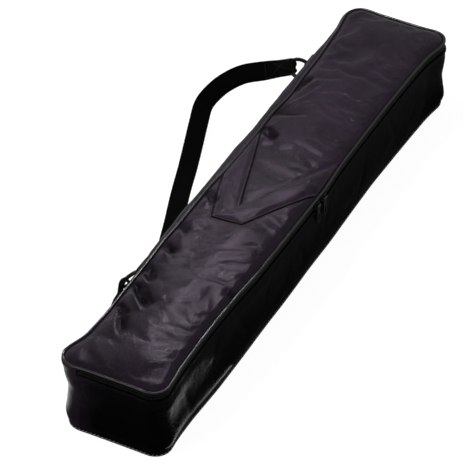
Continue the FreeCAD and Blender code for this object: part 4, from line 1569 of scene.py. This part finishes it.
class LidRelief:
    """The soft top of the lid: a puffed rim, slack cloth with creases, and pressed seams."""

    CREASES = Crease.rows(
        (-44, 180, 64, 62, 2.4, 1.1, -0.8), (21, -128, 30, 34, 4.5, 0.5, -0.3),
        (11, -168, 30, 30, 4.0, 0.45, -0.3), (19, -230, 33, 34, 4.5, 0.5, -0.3),
        (30, -179, 6, 54, 2.6, -0.45), (-30, -120, 100, 60, 10.0, -0.6), (45, -60, 80, 50, 9.0, -0.6),
        (30, 200, 95, 90, 16.0, -0.6), (-10, 300, 85, 70, 14.0, -0.5),
    )
    # Folds pressed into the cloth, whose depth also marks painted shade on the cover.
    FOLDS_AND_PAINTED_SHADE = Crease.rows(
        (-54, -44, -38, 30, 3.6, -2.8, 1.0), (-56, -110, -34, 26, 3.2, -2.0, 1.0),
        (-55, -152, -24, 30, 3.4, -2.8, 1.0), (-55, -202, -40, 34, 4.0, -3.2, 1.0),
        (-43, -240, -42, 52, 4.6, -4.0, 1.0), (-41, -290, -56, 52, 4.5, -2.2, 0.8),
        (-50, -272, -35, 30, 3.5, -2.0, 0.8), (60, -190, 25, 16, 3.2, -2.0, 0.6),
        (-50, 95, -24, 32, 4.0, -3.6, 1.0), (-44, 142, 18, 44, 5.0, -1.6, 0.6),
        (-54, 205, 72, 34, 4.0, -1.8, 0.6), (-26, 76, -54, 26, 5.0, -1.0),
        # The last two rows are broad shallow dents along the left edge, mostly there to paint shade along
        # it.
        (-62, -200, 88, 260, 11.0, -0.8), (-60, 140, 86, 150, 9.0, -0.6),
    )

    CROWN = ((-380, 4), (-345, 6), (-290, 7.5), (-230, 8), (-160, 8), (-100, 7.5), (-30, 6.5), (60, 5.2),
             (180, 4), (300, 3.4), (380, 3))
    RIDGE = ((-380, 38), (-345, 32), (-300, 12), (-250, 7), (-180, 9), (-120, 14), (-40, 20), (60, 14),
             (160, 4), (380, 0))
    LAYERS = ((1.0, 11, (46.0, 74.0), 12), (0.4, 5, (24.0, 33.0), -24), (0.08, 23, (9.0, 13.0), 28))
    RIM = 3.6
    SEAM_DEPTH, SEAM_WIDTH = 0.9, 5.5

    def __init__(self, outline: Outline, seams: Sequence[Polyline]) -> None:
        """Args:
            outline: The case's outline.
            seams: Rows of stitches that press into the padding.
        """
        self.outline, self.seams = outline, seams
        self.crown, self.ridge = Profile(self.CROWN), Profile(self.RIDGE)
        self.layers = [(size, Ripple(*pattern)) for size, *pattern in self.LAYERS]
        self.loose = LooseCloth(outline, self.RIM, self.form)

    def height(self, x: Array, y: Array) -> Array:
        """How far the finished cloth rises above the drawn lid at each point."""
        return self.form(x, y) + self.loose(x, y)

    def fold(self, x: Array, y: Array) -> Array:
        """How deep in a fold each point lies, from 0 to 1, which darkens the cover as painted shade."""
        depth = -sum(crease.lift(x, y) for crease in self.FOLDS_AND_PAINTED_SHADE)
        return smoothstep((depth + 0.5 * Ripple(51, (14.0, 10.0), 30)(x, y) - 0.1) / 1.7)

    def form(self, x: Array, y: Array) -> Array:
        """How far the filled lid rises above the drawn lid, before its cloth is let go."""
        edge = np.maximum(self.outline.depth(x, y) - self.RIM, 0)
        ridge = self.ridge(y)
        half = self.outline.half_x - self.RIM
        lean = np.where(x > ridge, (x - ridge) / (half - ridge), (ridge - x) / (half + ridge))
        bow = 1 - np.where(x > ridge, 0.65, 1.0) * np.clip(lean, 0, 1) ** 1.22
        ends = smoothstep((self.outline.half_y - self.RIM - np.abs(y)) / 46)
        filled = self.crown(y) * bow * (0.25 + 0.75 * ends) * smoothstep(edge / 8)
        crown = 2.6 * (1 - np.exp(-edge / 5.0)) + filled - 0.9 * np.exp(-edge / 1.1)
        roll = np.exp(-((x - ridge) / 20) ** 2) * ends * smoothstep((-50 - y) / 50)
        crown = crown + 1.1 * roll * smoothstep(edge / 8)
        free = smoothstep(edge / 16)
        slack = sum(size * ripple(x, y) for size, ripple in self.layers)
        slack = slack + sum(crease.lift(x, y) for crease in self.CREASES + self.FOLDS_AND_PAINTED_SHADE)
        pucker = 0.35 * Ripple(71, (6.5, 6.5))(x, y) * np.exp(-((edge - 7) / 5) ** 2)
        pressed = sum(self.SEAM_DEPTH * np.exp(-((seam.distance(x, y) / self.SEAM_WIDTH) ** 2))
                      for seam in self.seams)
        return crown + free * slack + pucker - pressed * smoothstep(edge / 6)


@dataclass
class Lid(Assembly):
    """The lid: cover, chevron, piping, padding, lining and the cloth hinge."""

    cover_inset: float = 3.2
    cover_columns: int = 68
    cover: float = 1.0
    band_inset: float = 4.3
    binding: Pair = (1.05, 0.8)
    stitch: Stitch = Stitch(3.2, 2.35, 0.6, 0.55, 9, scatter=0.07)
    foam_side: float = 0.6
    foam_face: float = 2.2
    hinge_inset: float = 1.9
    hinge_low: float = 96.0
    hinge_rise: float = 5.3
    hinge_cloth: float = 0.7

    def __post_init__(self) -> None:
        """Lays out the chevron and the relief that both share."""
        self.chevron = Chevron(self.shop.outline.half_x - self.band_inset)
        self.relief = LidRelief(self.shop.outline, self.chevron.seams)

    def surface(self, x: Array, y: Array) -> Array:
        """The height of the cover's top."""
        return node_box("lid_skin")[1, 2] + self.relief.height(x, y)

    def build(self) -> None:
        """Makes every piece of the lid."""
        self._cover()
        self._chevron()
        self._inside()
        self._hinge()

    def _sheet(self, inset: float, columns: int, top: float, bottom: Optional[float] = None,
               level: Optional[float] = None) -> tuple[Array, Array]:
        """Both faces of a ply under the lid's surface.

        Args:
            inset: Its edge's inset.
            columns: How many points lie across it.
            top: How far its upper face lies below the surface.
            bottom: How far its lower face does, where that follows the surface.
            level: Its lower face's height, where that is flat.

        Returns:
            The points of the upper and the lower face.
        """
        x, y = self.shop.outline.panel(inset, columns)
        surface = self.surface(x, y)
        lower = np.full_like(x, level) if level is not None else surface - bottom
        return tuple(self.settle(np.stack([x, y, z], -1)) for z in (surface - top, lower))

    def _cover(self) -> None:
        """The top cloth and the piping round it."""
        cover = slab("lid_cover", *self._sheet(self.cover_inset, self.cover_columns, 0.0, self.cover))
        # Painted shade: the folds' depth is kept on the cover for its finish to darken.
        folded = self.relief.fold(*self.shop.outline.panel(self.cover_inset, self.cover_columns)).ravel()
        mark_fold_shade(cover, np.concatenate([folded, folded]))
        finish_piece(cover, "lid", self.finish.top, "top_fabric", ["lid_skin"])
        box = node_box("lid_welt")
        radius = (box[1, 2] - box[0, 2]) / 2
        cord = self.shop.piping("lid_piping", radius, box[:, 2].mean(), radius - 0.02)
        finish_piece(cord, "lid", self.finish.welt, "welt_cord", ["lid_welt"])

    def _chevron(self) -> None:
        """The band and its two rows of stitches."""
        points, faces = self.chevron.mesh(self.surface)
        band = make_piece("lid_chevron", self.settle(points), faces, 50)
        # Painted shade in the band's folds as well.
        mark_fold_shade(band, self.relief.fold(points[:, 0], points[:, 1]))
        finish_piece(band, "lid", self.finish.band, "top_fabric", ["chevron_band"])
        for name, edge in zip(("lid_binding_outer", "lid_binding_inner"), self.chevron.bound):
            path = self._over(edge, 2.0, 5.5, 0.45)
            sides = unit(np.cross(np.gradient(path, axis=0), UP))
            turns = circle(8)[None, :, None]
            wide, high = self.binding
            grid = path[:, None] + wide * np.cos(turns) * sides[:, None] + high * np.sin(turns) * UP
            cord = swept(name, self.settle(grid), False)
            finish_piece(cord, "lid", self.finish.binding, "welt_cord")
        on_band = self.chevron.thickness - 0.25
        paths = [(self.settle(self._over(seam, 1.5, 7, on_band)), UP, False) for seam in self.chevron.seams]
        self.shop.sew("lid_stitches", paths, self.stitch, "lid", self.finish.thread_light, "top_fabric")

    def _over(self, path: Polyline, step: float, margin: float, lift: float) -> Array:
        """Points of a path laid on the lid.

        Args:
            path: The path in plan.
            step: How far apart the points are.
            margin: How far from the outline the path is cut off.
            lift: How far it lies above the surface.

        Returns:
            The points.
        """
        flat = path.steps(step)
        flat = flat[np.abs(flat[:, 0]) < self.shop.outline.half_x - margin]
        return np.column_stack([flat, self.surface(flat[:, 0], flat[:, 1]) + lift])

    def _inside(self) -> None:
        """The padding and the lining under the cover."""
        foam, lining = node_box("lid_foam"), node_box("lid_lining")
        inset = self.shop.inset("lid_foam") + self.foam_side
        pad = slab("lid_padding", *self._sheet(inset, 40, self.foam_face, level=foam[0, 2] + 0.05))
        finish_piece(pad, "lid", self.finish.foam, "padding", ["lid_foam"])
        cloth = self.shop.panel("lid_inner_lining", self.shop.inset("lid_lining"), *lining[:, 2], 40)
        finish_piece(cloth, "lid", self.finish.lining, "lining_cloth", ["lid_lining"])

    def _hinge(self) -> None:
        """A strip of cloth from the hinge wall's upper edge to the lid."""
        outer, _ = self.shop.outline.stations(Run.HINGED, self.hinge_inset)
        outer = outer[8:-8]
        bow = np.linspace(0, 1, 13)
        levels = self.hinge_low + self.hinge_rise * bow
        inward = 0.2 + 4.2 * smoothstep((bow - 0.55) / 0.45)
        steps = [(k, 0.0) for k in range(len(bow))] + [(k, self.hinge_cloth) for k in range(len(bow))[::-1]]
        rows = []
        for k, side in steps:
            step = inward[k] + side * (1 - 0.6 * bow[k])
            rows.append(raised(outer + (step, 0.0), levels[k] - side * 0.7 * bow[k]))
        grid = np.stack(rows, 1)
        strip = swept("hinge_strip", self.settle(grid), False)
        strip.data.materials.append(self.finish.side)
        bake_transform(strip)


# ---- rings and strap

@dataclass(frozen=True)
class Ring:
    """A D-ring: its straight bar lies along Y and its arc points outwards, tilted up by some degrees."""

    y: float
    tilt: float
    bar_x: float = -75.0
    bar_z: float = 74.0
    wire: float = 2.5
    inner_width: float = 26.0
    reach: float = 25.0
    bend: float = 2.85

    @property
    def half(self) -> float:
        """Half the width of the wire's middle line."""
        return self.inner_width / 2 + self.wire

    @property
    def leg(self) -> float:
        """How far the legs reach from the bar."""
        return self.reach - self.half

    @property
    def out(self) -> Array:
        """The direction from the bar to the arc."""
        lean = math.radians(self.tilt)
        return np.array([-math.cos(lean), 0.0, math.sin(lean)])

    @property
    def normal(self) -> Array:
        """The direction square to the ring's plane."""
        return np.cross(ALONG, self.out)

    def at(self, side: Array, reach: Array) -> Array:
        """Points in the ring's plane, side along Y and reach away from the bar."""
        side, reach = np.asarray(side, float)[..., None], np.asarray(reach, float)[..., None]
        return np.array([self.bar_x, self.y, self.bar_z]) + side * ALONG + reach * self.out

    def on_arc(self, degrees: Array) -> Array:
        """Points on the arc, measured from its crown towards the near end."""
        turn = np.radians(degrees)
        return self.at(-self.half * np.sin(turn), self.leg + self.half * np.cos(turn))

    def away(self, degrees: Array) -> Array:
        """The direction away from the arc's centre at those points."""
        turn = np.radians(np.asarray(degrees, float))[..., None]
        return -np.sin(turn) * ALONG + np.cos(turn) * self.out

    def loop(self) -> Array:
        """The wire's middle line, once round."""
        half, bend = self.half, self.bend
        quarter = np.radians(np.linspace(0, 90, 7))
        sine, cosine = bend * np.sin(quarter), bend * np.cos(quarter)
        turns = np.linspace(-90, 90, 37)
        right = self.at(half - bend + sine, bend - cosine)
        left = self.at(-half + bend - sine[::-1], bend - cosine[::-1])
        bar = self.at(np.linspace(-half + bend, half - bend, 9)[1:-1], np.zeros(7))
        return np.concatenate([bar, right, self.on_arc(turns), left])

    def grid(self, around: int = 14) -> Array:
        """The wire's surface as (stations, section points, 3)."""
        path = self.loop()
        ways = unit(np.roll(path, -1, 0) - np.roll(path, 1, 0))
        sides = np.cross(ways, self.normal)
        turns = circle(around)[None, :, None]
        return path[:, None] + self.wire * (np.cos(turns) * self.normal + np.sin(turns) * sides[:, None])


@dataclass(frozen=True)
class Webbing:
    """A flat woven strip, given row by row as points across its middle face."""

    width: float
    thickness: float
    columns: int = 15

    @property
    def places(self) -> Array:
        """Where the columns lie across the strip, from -1 to 1 and closer together at its edges."""
        return np.sin(np.linspace(-0.5, 0.5, self.columns) * np.pi)

    def row(self, centre: Array, side: Array, share: float = 1.0) -> Array:
        """One straight row across the strip, narrowed to a share of its width."""
        return centre + self.places[:, None] * side * (self.width / 2 * share)

    def solid(self, name: str, rows: Array) -> tuple[Piece, Array]:
        """Gives the rows their thickness.

        Args:
            name: The piece's name.
            rows: Points as (rows, columns, 3).

        Returns:
            The new object and the normals of its middle face.
        """
        along = unit(np.gradient(rows, axis=0))
        across = unit(np.gradient(rows, axis=1))
        normals = unit(np.cross(along, across))
        depth = self.thickness / 2 * np.sqrt(np.clip(1 - 0.92 * np.abs(self.places) ** 14, 0, 1))
        lift = normals * depth[:, None]
        grid = np.concatenate([rows + lift, (rows - lift)[:, ::-1]], 1)
        run = run_length(rows[:, self.columns // 2])
        across_mm = self.places * self.width / 2
        both = np.concatenate([across_mm, across_mm[::-1]])
        uv = np.stack(np.broadcast_arrays(run[:, None], both[None, :]), -1)
        return swept(name, grid, False, uv, 70), normals


@dataclass
class CarryStrap(Assembly):
    """The shoulder strap between two D-rings, with the tabs that hold them to the case.

    Each run lists the strap's middle line as (out from the wall, along Y, height, width direction). The
    first run is measured from the far ring and the second from the near one.
    """

    FAR_RUN = (
        (58.0, -23.0, 77.0, (0.41, -0.52, -0.75)), (82.0, -35.0, 71.0, (0.54, -0.42, -0.73)),
        (100.0, -49.0, 61.0, (0.71, -0.26, -0.65)), (112.0, -63.0, 49.0, (0.83, -0.09, -0.55)),
        (118.0, -77.0, 37.0, (0.92, 0.17, -0.34)), (114.0, -98.0, 25.0, (0.93, 0.31, -0.20)),
        (105.0, -130.0, 13.0, (0.93, 0.33, -0.14)), (95.0, -163.0, 5.0, (0.94, 0.33, -0.06)),
        (82.0, -205.0, 1.1, (0.95, 0.32, 0.0)), (58.0, -271.0, 1.1, (0.95, 0.32, 0.0)),
    )
    NEAR_RUN = (
        (42.0, 120.0, 1.1, (0.97, 0.24, 0.0)), (31.0, 70.0, 1.1, (0.99, 0.12, 0.0)),
        (28.0, 20.0, 1.1, (1.0, 0.0, 0.0)), (27.0, -8.0, 2.5, (1.0, 0.0, 0.0)),
        (26.5, -21.0, 11.0, (1.0, -0.05, 0.0)), (26.0, -24.0, 26.0, (0.94, -0.25, 0.10)),
        (25.5, -20.0, 43.0, (0.80, -0.50, 0.30)),
    )
    far: Ring = Ring(261.0, 25.0)
    near: Ring = Ring(-180.0, -35.0)
    strap: Webbing = Webbing(25.0, 1.55)
    tab: Webbing = Webbing(25.0, 1.15)
    stitch: Stitch = Stitch(3.0, 2.2, 0.6, 0.5, 13, scatter=0.1)
    wall_x: float = -66.0
    steps: int = 14
    doubled: int = 2
    apart: float = 0.82
    floor: float = 1.15
    gather: float = 0.95
    wrap_reach: float = 3.6
    slack: float = 4.2

    def build(self) -> None:
        """Makes the strap, the rings and their tabs."""
        rows, marks = self._rows()
        strap, normals = self.strap.solid("shoulder_strap", rows)
        finish_piece(strap, "carry_strap", self.finish.webbing, "webbing", ["strap"])
        self._box_stitches(rows, normals, marks)
        for name, ring in (("far", self.far), ("near", self.near)):
            wire = swept(f"ring_{name}", ring.grid(), True)
            finish_piece(wire, "carry_strap", self.finish.metal, "black_metal", [f"d_ring_{name}"])
            tab, _ = self.tab.solid(f"ring_loop_{name}", self._tab_rows(ring))
            finish_piece(tab, "case", self.finish.webbing, "webbing", [f"ring_tab_{name}"])

    def _route(self, run: Sequence[tuple], ring: Ring) -> tuple[Array, Array]:
        """A run's points and width directions."""
        points = np.array([(self.wall_x - out, ring.y + along, z) for out, along, z, _ in run])
        return points, np.array([side for *_, side in run])

    def _smooth(self, points: Array) -> Array:
        """Points of a Catmull-Rom curve through the given ones."""
        ends = np.concatenate([[2 * points[0] - points[1]], points, [2 * points[-1] - points[-2]]])
        t = (np.arange(self.steps) / self.steps)[:, None]
        spans = []
        for a, b, c, d in zip(ends, ends[1:], ends[2:], ends[3:]):
            spans.append(0.5 * (2 * b + (c - a) * t + (2 * a - 5 * b + 4 * c - d) * t**2
                                + (3 * b - a - 3 * c + d) * t**3))
        return np.concatenate(spans + [points[-1:]])

    def _hold(self, ring: Ring, target: Array) -> tuple[float, float, Array]:
        """Where the strap's pull is square to a ring's wire.

        Args:
            ring: The ring.
            target: The next point of the strap.

        Returns:
            The angle on the arc, the pull's angle out of the ring's plane, and the pull's direction.
        """
        pull = target - ring.at(0, ring.leg)
        skew = math.degrees(math.atan2(-pull[1], pull @ ring.out))
        fold = ring.on_arc(skew)
        way = target - fold
        rise = math.atan2(way @ ring.normal, way @ ring.away(skew))
        return skew, rise, math.cos(rise) * ring.away(skew) + math.sin(rise) * ring.normal

    def _wrap(self, ring: Ring, target: Array, start: float, end: float, count: int) -> Array:
        """Rows of the strap round a ring's arc, between two angles from the pull's direction."""
        skew, rise, _ = self._hold(ring, target)
        places = self.strap.places * self.strap.width / 2 * self.gather
        angles = skew + np.degrees(places / ring.half)
        turns = rise + np.radians(np.linspace(start, end, count))[:, None, None]
        away = ring.away(angles)[None]
        reach = self.wrap_reach + self.slack * np.clip(-np.cos(turns), 0, 1) ** 2
        return ring.on_arc(angles)[None] + reach * (np.cos(turns) * away + np.sin(turns) * ring.normal)

    def _rows(self) -> tuple[Array, list[tuple[int, int]]]:
        """Every row of the strap, and where its doubled ends lie."""
        far_points, far_sides = self._route(self.FAR_RUN, self.far)
        near_points, near_sides = self._route(self.NEAR_RUN, self.near)
        starts, wires = [], []
        for ring, target, side in ((self.far, far_points[0], far_sides[0]),
                                   (self.near, near_points[-1], near_sides[-1])):
            skew, _, pull = self._hold(ring, target)
            starts.append(ring.on_arc(skew) + pull * self.wrap_reach)
            wire = np.cross(ring.normal, ring.away(skew))
            wires.append(wire * math.copysign(1, wire @ side))
        middle = self._smooth(np.stack([starts[0], *far_points, *near_points, starts[1]]))
        across = self._smooth(np.stack([wires[0], *far_sides, *near_sides, wires[1]]))
        middle[:, 2] = np.maximum(middle[:, 2], self.floor)
        ways = unit(np.gradient(middle, axis=0))
        across = unit(across - ways * np.sum(across * ways, -1, keepdims=True))
        ups = unit(np.cross(ways, across))
        count = len(middle)
        from_end = np.minimum(np.arange(count), np.arange(count)[::-1])
        share = self.gather + (1 - self.gather) * smoothstep(from_end / self.steps)
        doubled = self.doubled * self.steps
        over = self.apart * smoothstep((doubled + 5 - from_end) / 5)
        rise = ups * over[:, None]
        main = self._spread(middle + rise, across, share)
        under = self._spread(middle - ups * self.apart, across, share)
        half = count // 2
        far_rows = self._close(self.far, far_points[0], under[:doubled][::-1], main[:half],
                               across[0], ups[0])
        near_rows = self._close(self.near, near_points[-1], under[-doubled:], main[half:][::-1],
                                across[-1], ups[-1])
        rows = np.concatenate([far_rows, near_rows[::-1]])
        first, last = doubled + 13, 2 * doubled + 10
        return rows, [(first, last), (len(rows) - last, len(rows) - first)]

    def _spread(self, middle: Array, across: Array, share: Array) -> Array:
        """Straight rows of the strap, from their middles, directions and shares of its width."""
        return np.stack([self.strap.row(*row) for row in zip(middle, across, share)])

    def _close(self, ring: Ring, target: Array, tail: Array, main: Array, side: Array, up: Array) -> Array:
        """Joins a tail, the turn round the wire and the strap itself, which starts at the ring.

        Args:
            ring: The ring.
            target: The strap's next point.
            tail: Rows of the tail, which ends at the ring.
            main: Rows of the strap, which starts at the ring.
            side: The strap's width direction at the ring.
            up: Its upward direction there.

        Returns:
            All the rows in order.
        """
        crown = ring.on_arc(0)
        if math.dist(tail[-1].mean(0), crown) > math.dist(tail[0].mean(0), crown):
            tail = tail[::-1]
        skew, rise, pull = self._hold(ring, target)
        quarter = -math.sin(rise) * ring.away(skew) + math.cos(rise) * ring.normal
        sign = math.copysign(1, quarter @ up)
        wrap = self._wrap(ring, target, -sign * 84, -sign * 276, 22)
        wire = wrap[0, -1] - wrap[0, 0]
        if wire @ side < 0:
            wrap = wrap[:, ::-1]
        blended = self.steps + 4
        for rows, anchor in ((tail[::-1], wrap[0]), (main, wrap[-1])):
            for i in range(min(blended, len(rows))):
                weight = 1 - smoothstep((i + 0.6) / blended)
                drift = anchor + pull * (np.linalg.norm(rows[i].mean(0) - rows[0].mean(0)) + 2.2)
                rows[i] = rows[i] * (1 - weight) + drift * weight
        return np.concatenate([tail, wrap, main])

    def _box_stitches(self, rows: Array, normals: Array, marks: Sequence[tuple[int, int]]) -> None:
        """A stitched box with a cross in it on each doubled end.

        Args:
            rows: The strap's rows.
            normals: The normals of its middle face.
            marks: The first and last row of each doubled end.
        """
        lift = self.strap.thickness / 2 + 0.05
        paths = []
        for first, last in marks:
            low, high, left, right = first + 2, last - 3, 1, self.strap.columns - 2
            corners = [(low, left), (high, left), (high, right), (low, right),
                       (low, left), (high, right), (high, left), (low, right)]
            i, j = np.concatenate([np.linspace(a, b, 40) for a, b in zip(corners, corners[1:])]).T
            for side in (1, -1):
                face = between(rows + normals * lift * side, i, j)
                paths.append((face, between(normals * side, i, j), False))
        self.shop.sew("strap_stitches", paths, self.stitch, "carry_strap", self.finish.thread, "webbing")

    def _tab_rows(self, ring: Ring) -> Array:
        """Rows of folded webbing from the lid seam down round a ring's bar and back up."""
        loop, wall = ring.wire + 0.3 + self.tab.thickness / 2, self.wall_x
        turns = np.radians(np.linspace(158, 392, 30))
        slack = 3.6 * np.clip(np.cos(turns - math.radians(180 - ring.tilt)), 0, 1) ** 3
        arc = np.column_stack([ring.bar_x + (loop + slack) * np.cos(turns),
                               ring.bar_z + (loop + slack) * np.sin(turns)])
        down = np.array([(wall - 1.95, 99.2), (wall - 1.95, 94.0), (wall - 2.3, 89.0)])
        up = np.array([(wall - 1.0, 89.0), (wall - 0.75, 94.0), (wall - 0.75, 99.2)])
        lines = []
        for start, stop in ((down, arc[:1]), (arc[-1:], up)):
            path = np.concatenate([start, stop])
            places = run_length(path)
            steps = np.linspace(0, places[-1], 16)
            lines.append(np.column_stack([np.interp(steps, places, path[:, k]) for k in (0, 1)]))
        middle = np.concatenate([lines[0][:-1], arc, lines[1][1:]])
        points = np.stack([middle[:, 0], np.full(len(middle), ring.y), middle[:, 1]], -1)
        moved = self.settle(points)
        hold = smoothstep((points[:, 2] - ring.bar_z - 3) / 18)[:, None]
        points = points * (1 - hold) + moved * hold
        return np.stack([self.tab.row(point, ALONG) for point in points])


# ---- the studio

@dataclass(frozen=True)
class Softbox:
    """A square lamp aimed at a point, in metres and watts."""

    name: str
    place: tuple[float, float, float]
    target: tuple[float, float, float]
    size: Pair
    power: float

    def light(self) -> None:
        """Puts the lamp in the scene."""
        lamp = bpy.data.lights.new(self.name, "AREA")
        lamp.shape = "RECTANGLE"
        lamp.size, lamp.size_y = self.size
        lamp.energy = self.power
        back = unit(np.array(self.place) - np.array(self.target))
        side = unit(np.cross(UP, back))
        columns = np.column_stack([side, np.cross(back, side), back, self.place])
        link(self.name, lamp).matrix_world = Matrix([*columns.tolist(), (0, 0, 0, 1)])


class Studio:
    """A pale floor under soft light, and the camera."""

    LAMPS = (
        Softbox("key", (-0.235, 0.32, 0.73), (0.02, -0.27, 0.10), (0.04, 0.20), 5.1),
        Softbox("left", (-1.35, -0.22, 0.60), (-0.10, -0.15, 0.02), (0.9, 0.5), 1.0),
        Softbox("right", (1.30, 0.95, 0.22), (0.07, -0.25, 0.02), (0.8, 0.4), 0.5),
        Softbox("front", (-0.62, -1.65, 0.75), (0.0, -0.38, 0.08), (0.5, 0.35), 7.0),
        Softbox("toe", (0.0725, -0.285, 0.003), (0.0725, -0.2851, 1.0), (0.004, 0.17), 0.008),
        Softbox("corner", (-0.115, -0.33, 0.003), (-0.115, -0.3301, 1.0), (0.05, 0.12), 0.03),
    )
    FILL = (0.25, 0.5)
    SHADOW = 0.16
    # Bounce levels of the floor's left and right; the darker right one is painted shade.
    BOUNCE_WITH_PAINTED_SHADE = (0.7, 0.3)
    PAINTED_SHADOW_LEVEL = 0.04
    HALF_FLOOR = 7.0

    def build(self) -> None:
        """Makes the floor, the lights, the world and the camera."""
        for lamp in self.LAMPS:
            lamp.light()
        self._world()
        self._floor()
        self._camera()
        bpy.context.scene.view_settings.view_transform = "Standard"

    @staticmethod
    def _sharp(tree: bpy.types.NodeTree, rays: bpy.types.Node) -> bpy.types.NodeSocket:
        """One for the eye's rays, mirrored rays and rays through glass, otherwise nought."""
        total = rays.outputs["Is Camera Ray"]
        for name in ("Is Glossy Ray", "Is Transmission Ray"):
            total = add_node(tree, "ShaderNodeMath", {"operation": "MAXIMUM"}, {
                0: total, 1: rays.outputs[name]}).outputs[0]
        return total

    def _world(self) -> None:
        """A white surround for the eye and for mirrors, and a dimmer one for light on matt faces."""
        world = bpy.data.worlds.new("surround")
        world.use_nodes = True
        tree = world.node_tree
        rays = add_node(tree, "ShaderNodeLightPath", {}, {})
        place = add_node(tree, "ShaderNodeTexCoord", {}, {}).outputs["Generated"]
        height = add_node(tree, "ShaderNodeSeparateXYZ", {}, {0: place}).outputs["Z"]
        dim, bright = self.FILL
        sky = add_node(tree, "ShaderNodeMapRange", {}, {
            "Value": height, "From Min": 0.05, "From Max": 0.95, "To Min": dim, "To Max": bright})
        strength = add_node(tree, "ShaderNodeMapRange", {}, {
            "Value": self._sharp(tree, rays), "To Min": sky.outputs[0], "To Max": 1.0})
        ground = next(n for n in tree.nodes if n.type == "BACKGROUND")
        feed(ground.inputs["Strength"], strength.outputs[0])
        feed(ground.inputs["Color"], WHITE)
        bpy.context.scene.world = world

    def _floor(self) -> None:
        """A pale floor that keeps a faint shadow of what stands on it. In mirrors it has a painted shadow
        round the case, and the light that it bounces is painted darker on its right.
        """
        half = self.HALF_FLOOR
        mesh = bpy.data.meshes.new("floor")
        mesh.from_pydata([(-half, -half, 0), (half, -half, 0), (half, half, 0), (-half, half, 0)], [],
                         [(0, 1, 2, 3)])
        floor = link("floor", mesh)
        shader = Shader("floor")
        rays = add_node(shader.tree, "ShaderNodeLightPath", {}, {})
        seen = Value(shader, rays.outputs["Is Camera Ray"])
        x, y = shader.axis(shader.place, "X"), shader.axis(shader.place, "Y")
        # Painted shade: the floor bounces less light on its right, as if in the case's shadow.
        dim = shader.mix(x.ramp(-0.06, 0.05), *((level, level, level, 1) for level in self.BOUNCE_WITH_PAINTED_SHADE))
        shader.set(Base_Color=shader.mix(seen, dim, (0.9, 0.9, 0.9, 1)), Roughness=0.9,
                   Specular_IOR_Level=0.0)
        # Painted shadow: mirrored rays see the floor dark round the case.
        away = x.absolute().ramp(0.08, 0.55) + y.absolute().ramp(0.40, 0.85)
        beside = (away + seen).ramp(0.0, 1.0, self.PAINTED_SHADOW_LEVEL)
        glow = shader.node("ShaderNodeEmission", {}, {"Color": WHITE, "Strength": beside * 1.12})
        sharp = Value(shader, self._sharp(shader.tree, rays))
        shader.overlay(sharp.ramp(0.0, 1.0, 0.0, 1.0 - self.SHADOW), glow)
        mesh.materials.append(shader.material)

    @staticmethod
    def _camera() -> None:
        """A long lens from the near right, high up."""
        lens = bpy.data.cameras.new("camera")
        lens.lens, lens.sensor_width, lens.clip_end = 310.3, 36.0, 40.0
        camera = link("camera", lens)
        camera.matrix_world = Matrix((
            (0.88168, -0.30008, 0.36414, 1.76227),
            (0.47167, 0.58207, -0.66236, -3.28632),
            (-0.01319, 0.75574, 0.65474, 3.26781),
            (0.0, 0.0, 0.0, 1.0),
        ))
        bpy.context.scene.camera = camera


def write_size() -> None:
    """Brings the view layer up to date."""
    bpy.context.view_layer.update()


def main() -> None:
    """Dresses the case and lights it."""
    shop = Workshop()
    Studio().build()
    for assembly in (Base(shop), Walls(shop), Zipper(shop), Lid(shop), CarryStrap(shop)):
        assembly.build()
        LOG.info("built %s", type(assembly).__name__)
    write_size()


if __name__ == "__main__":
    logging.basicConfig(level=logging.INFO, format="%(name)s: %(message)s")
    main()
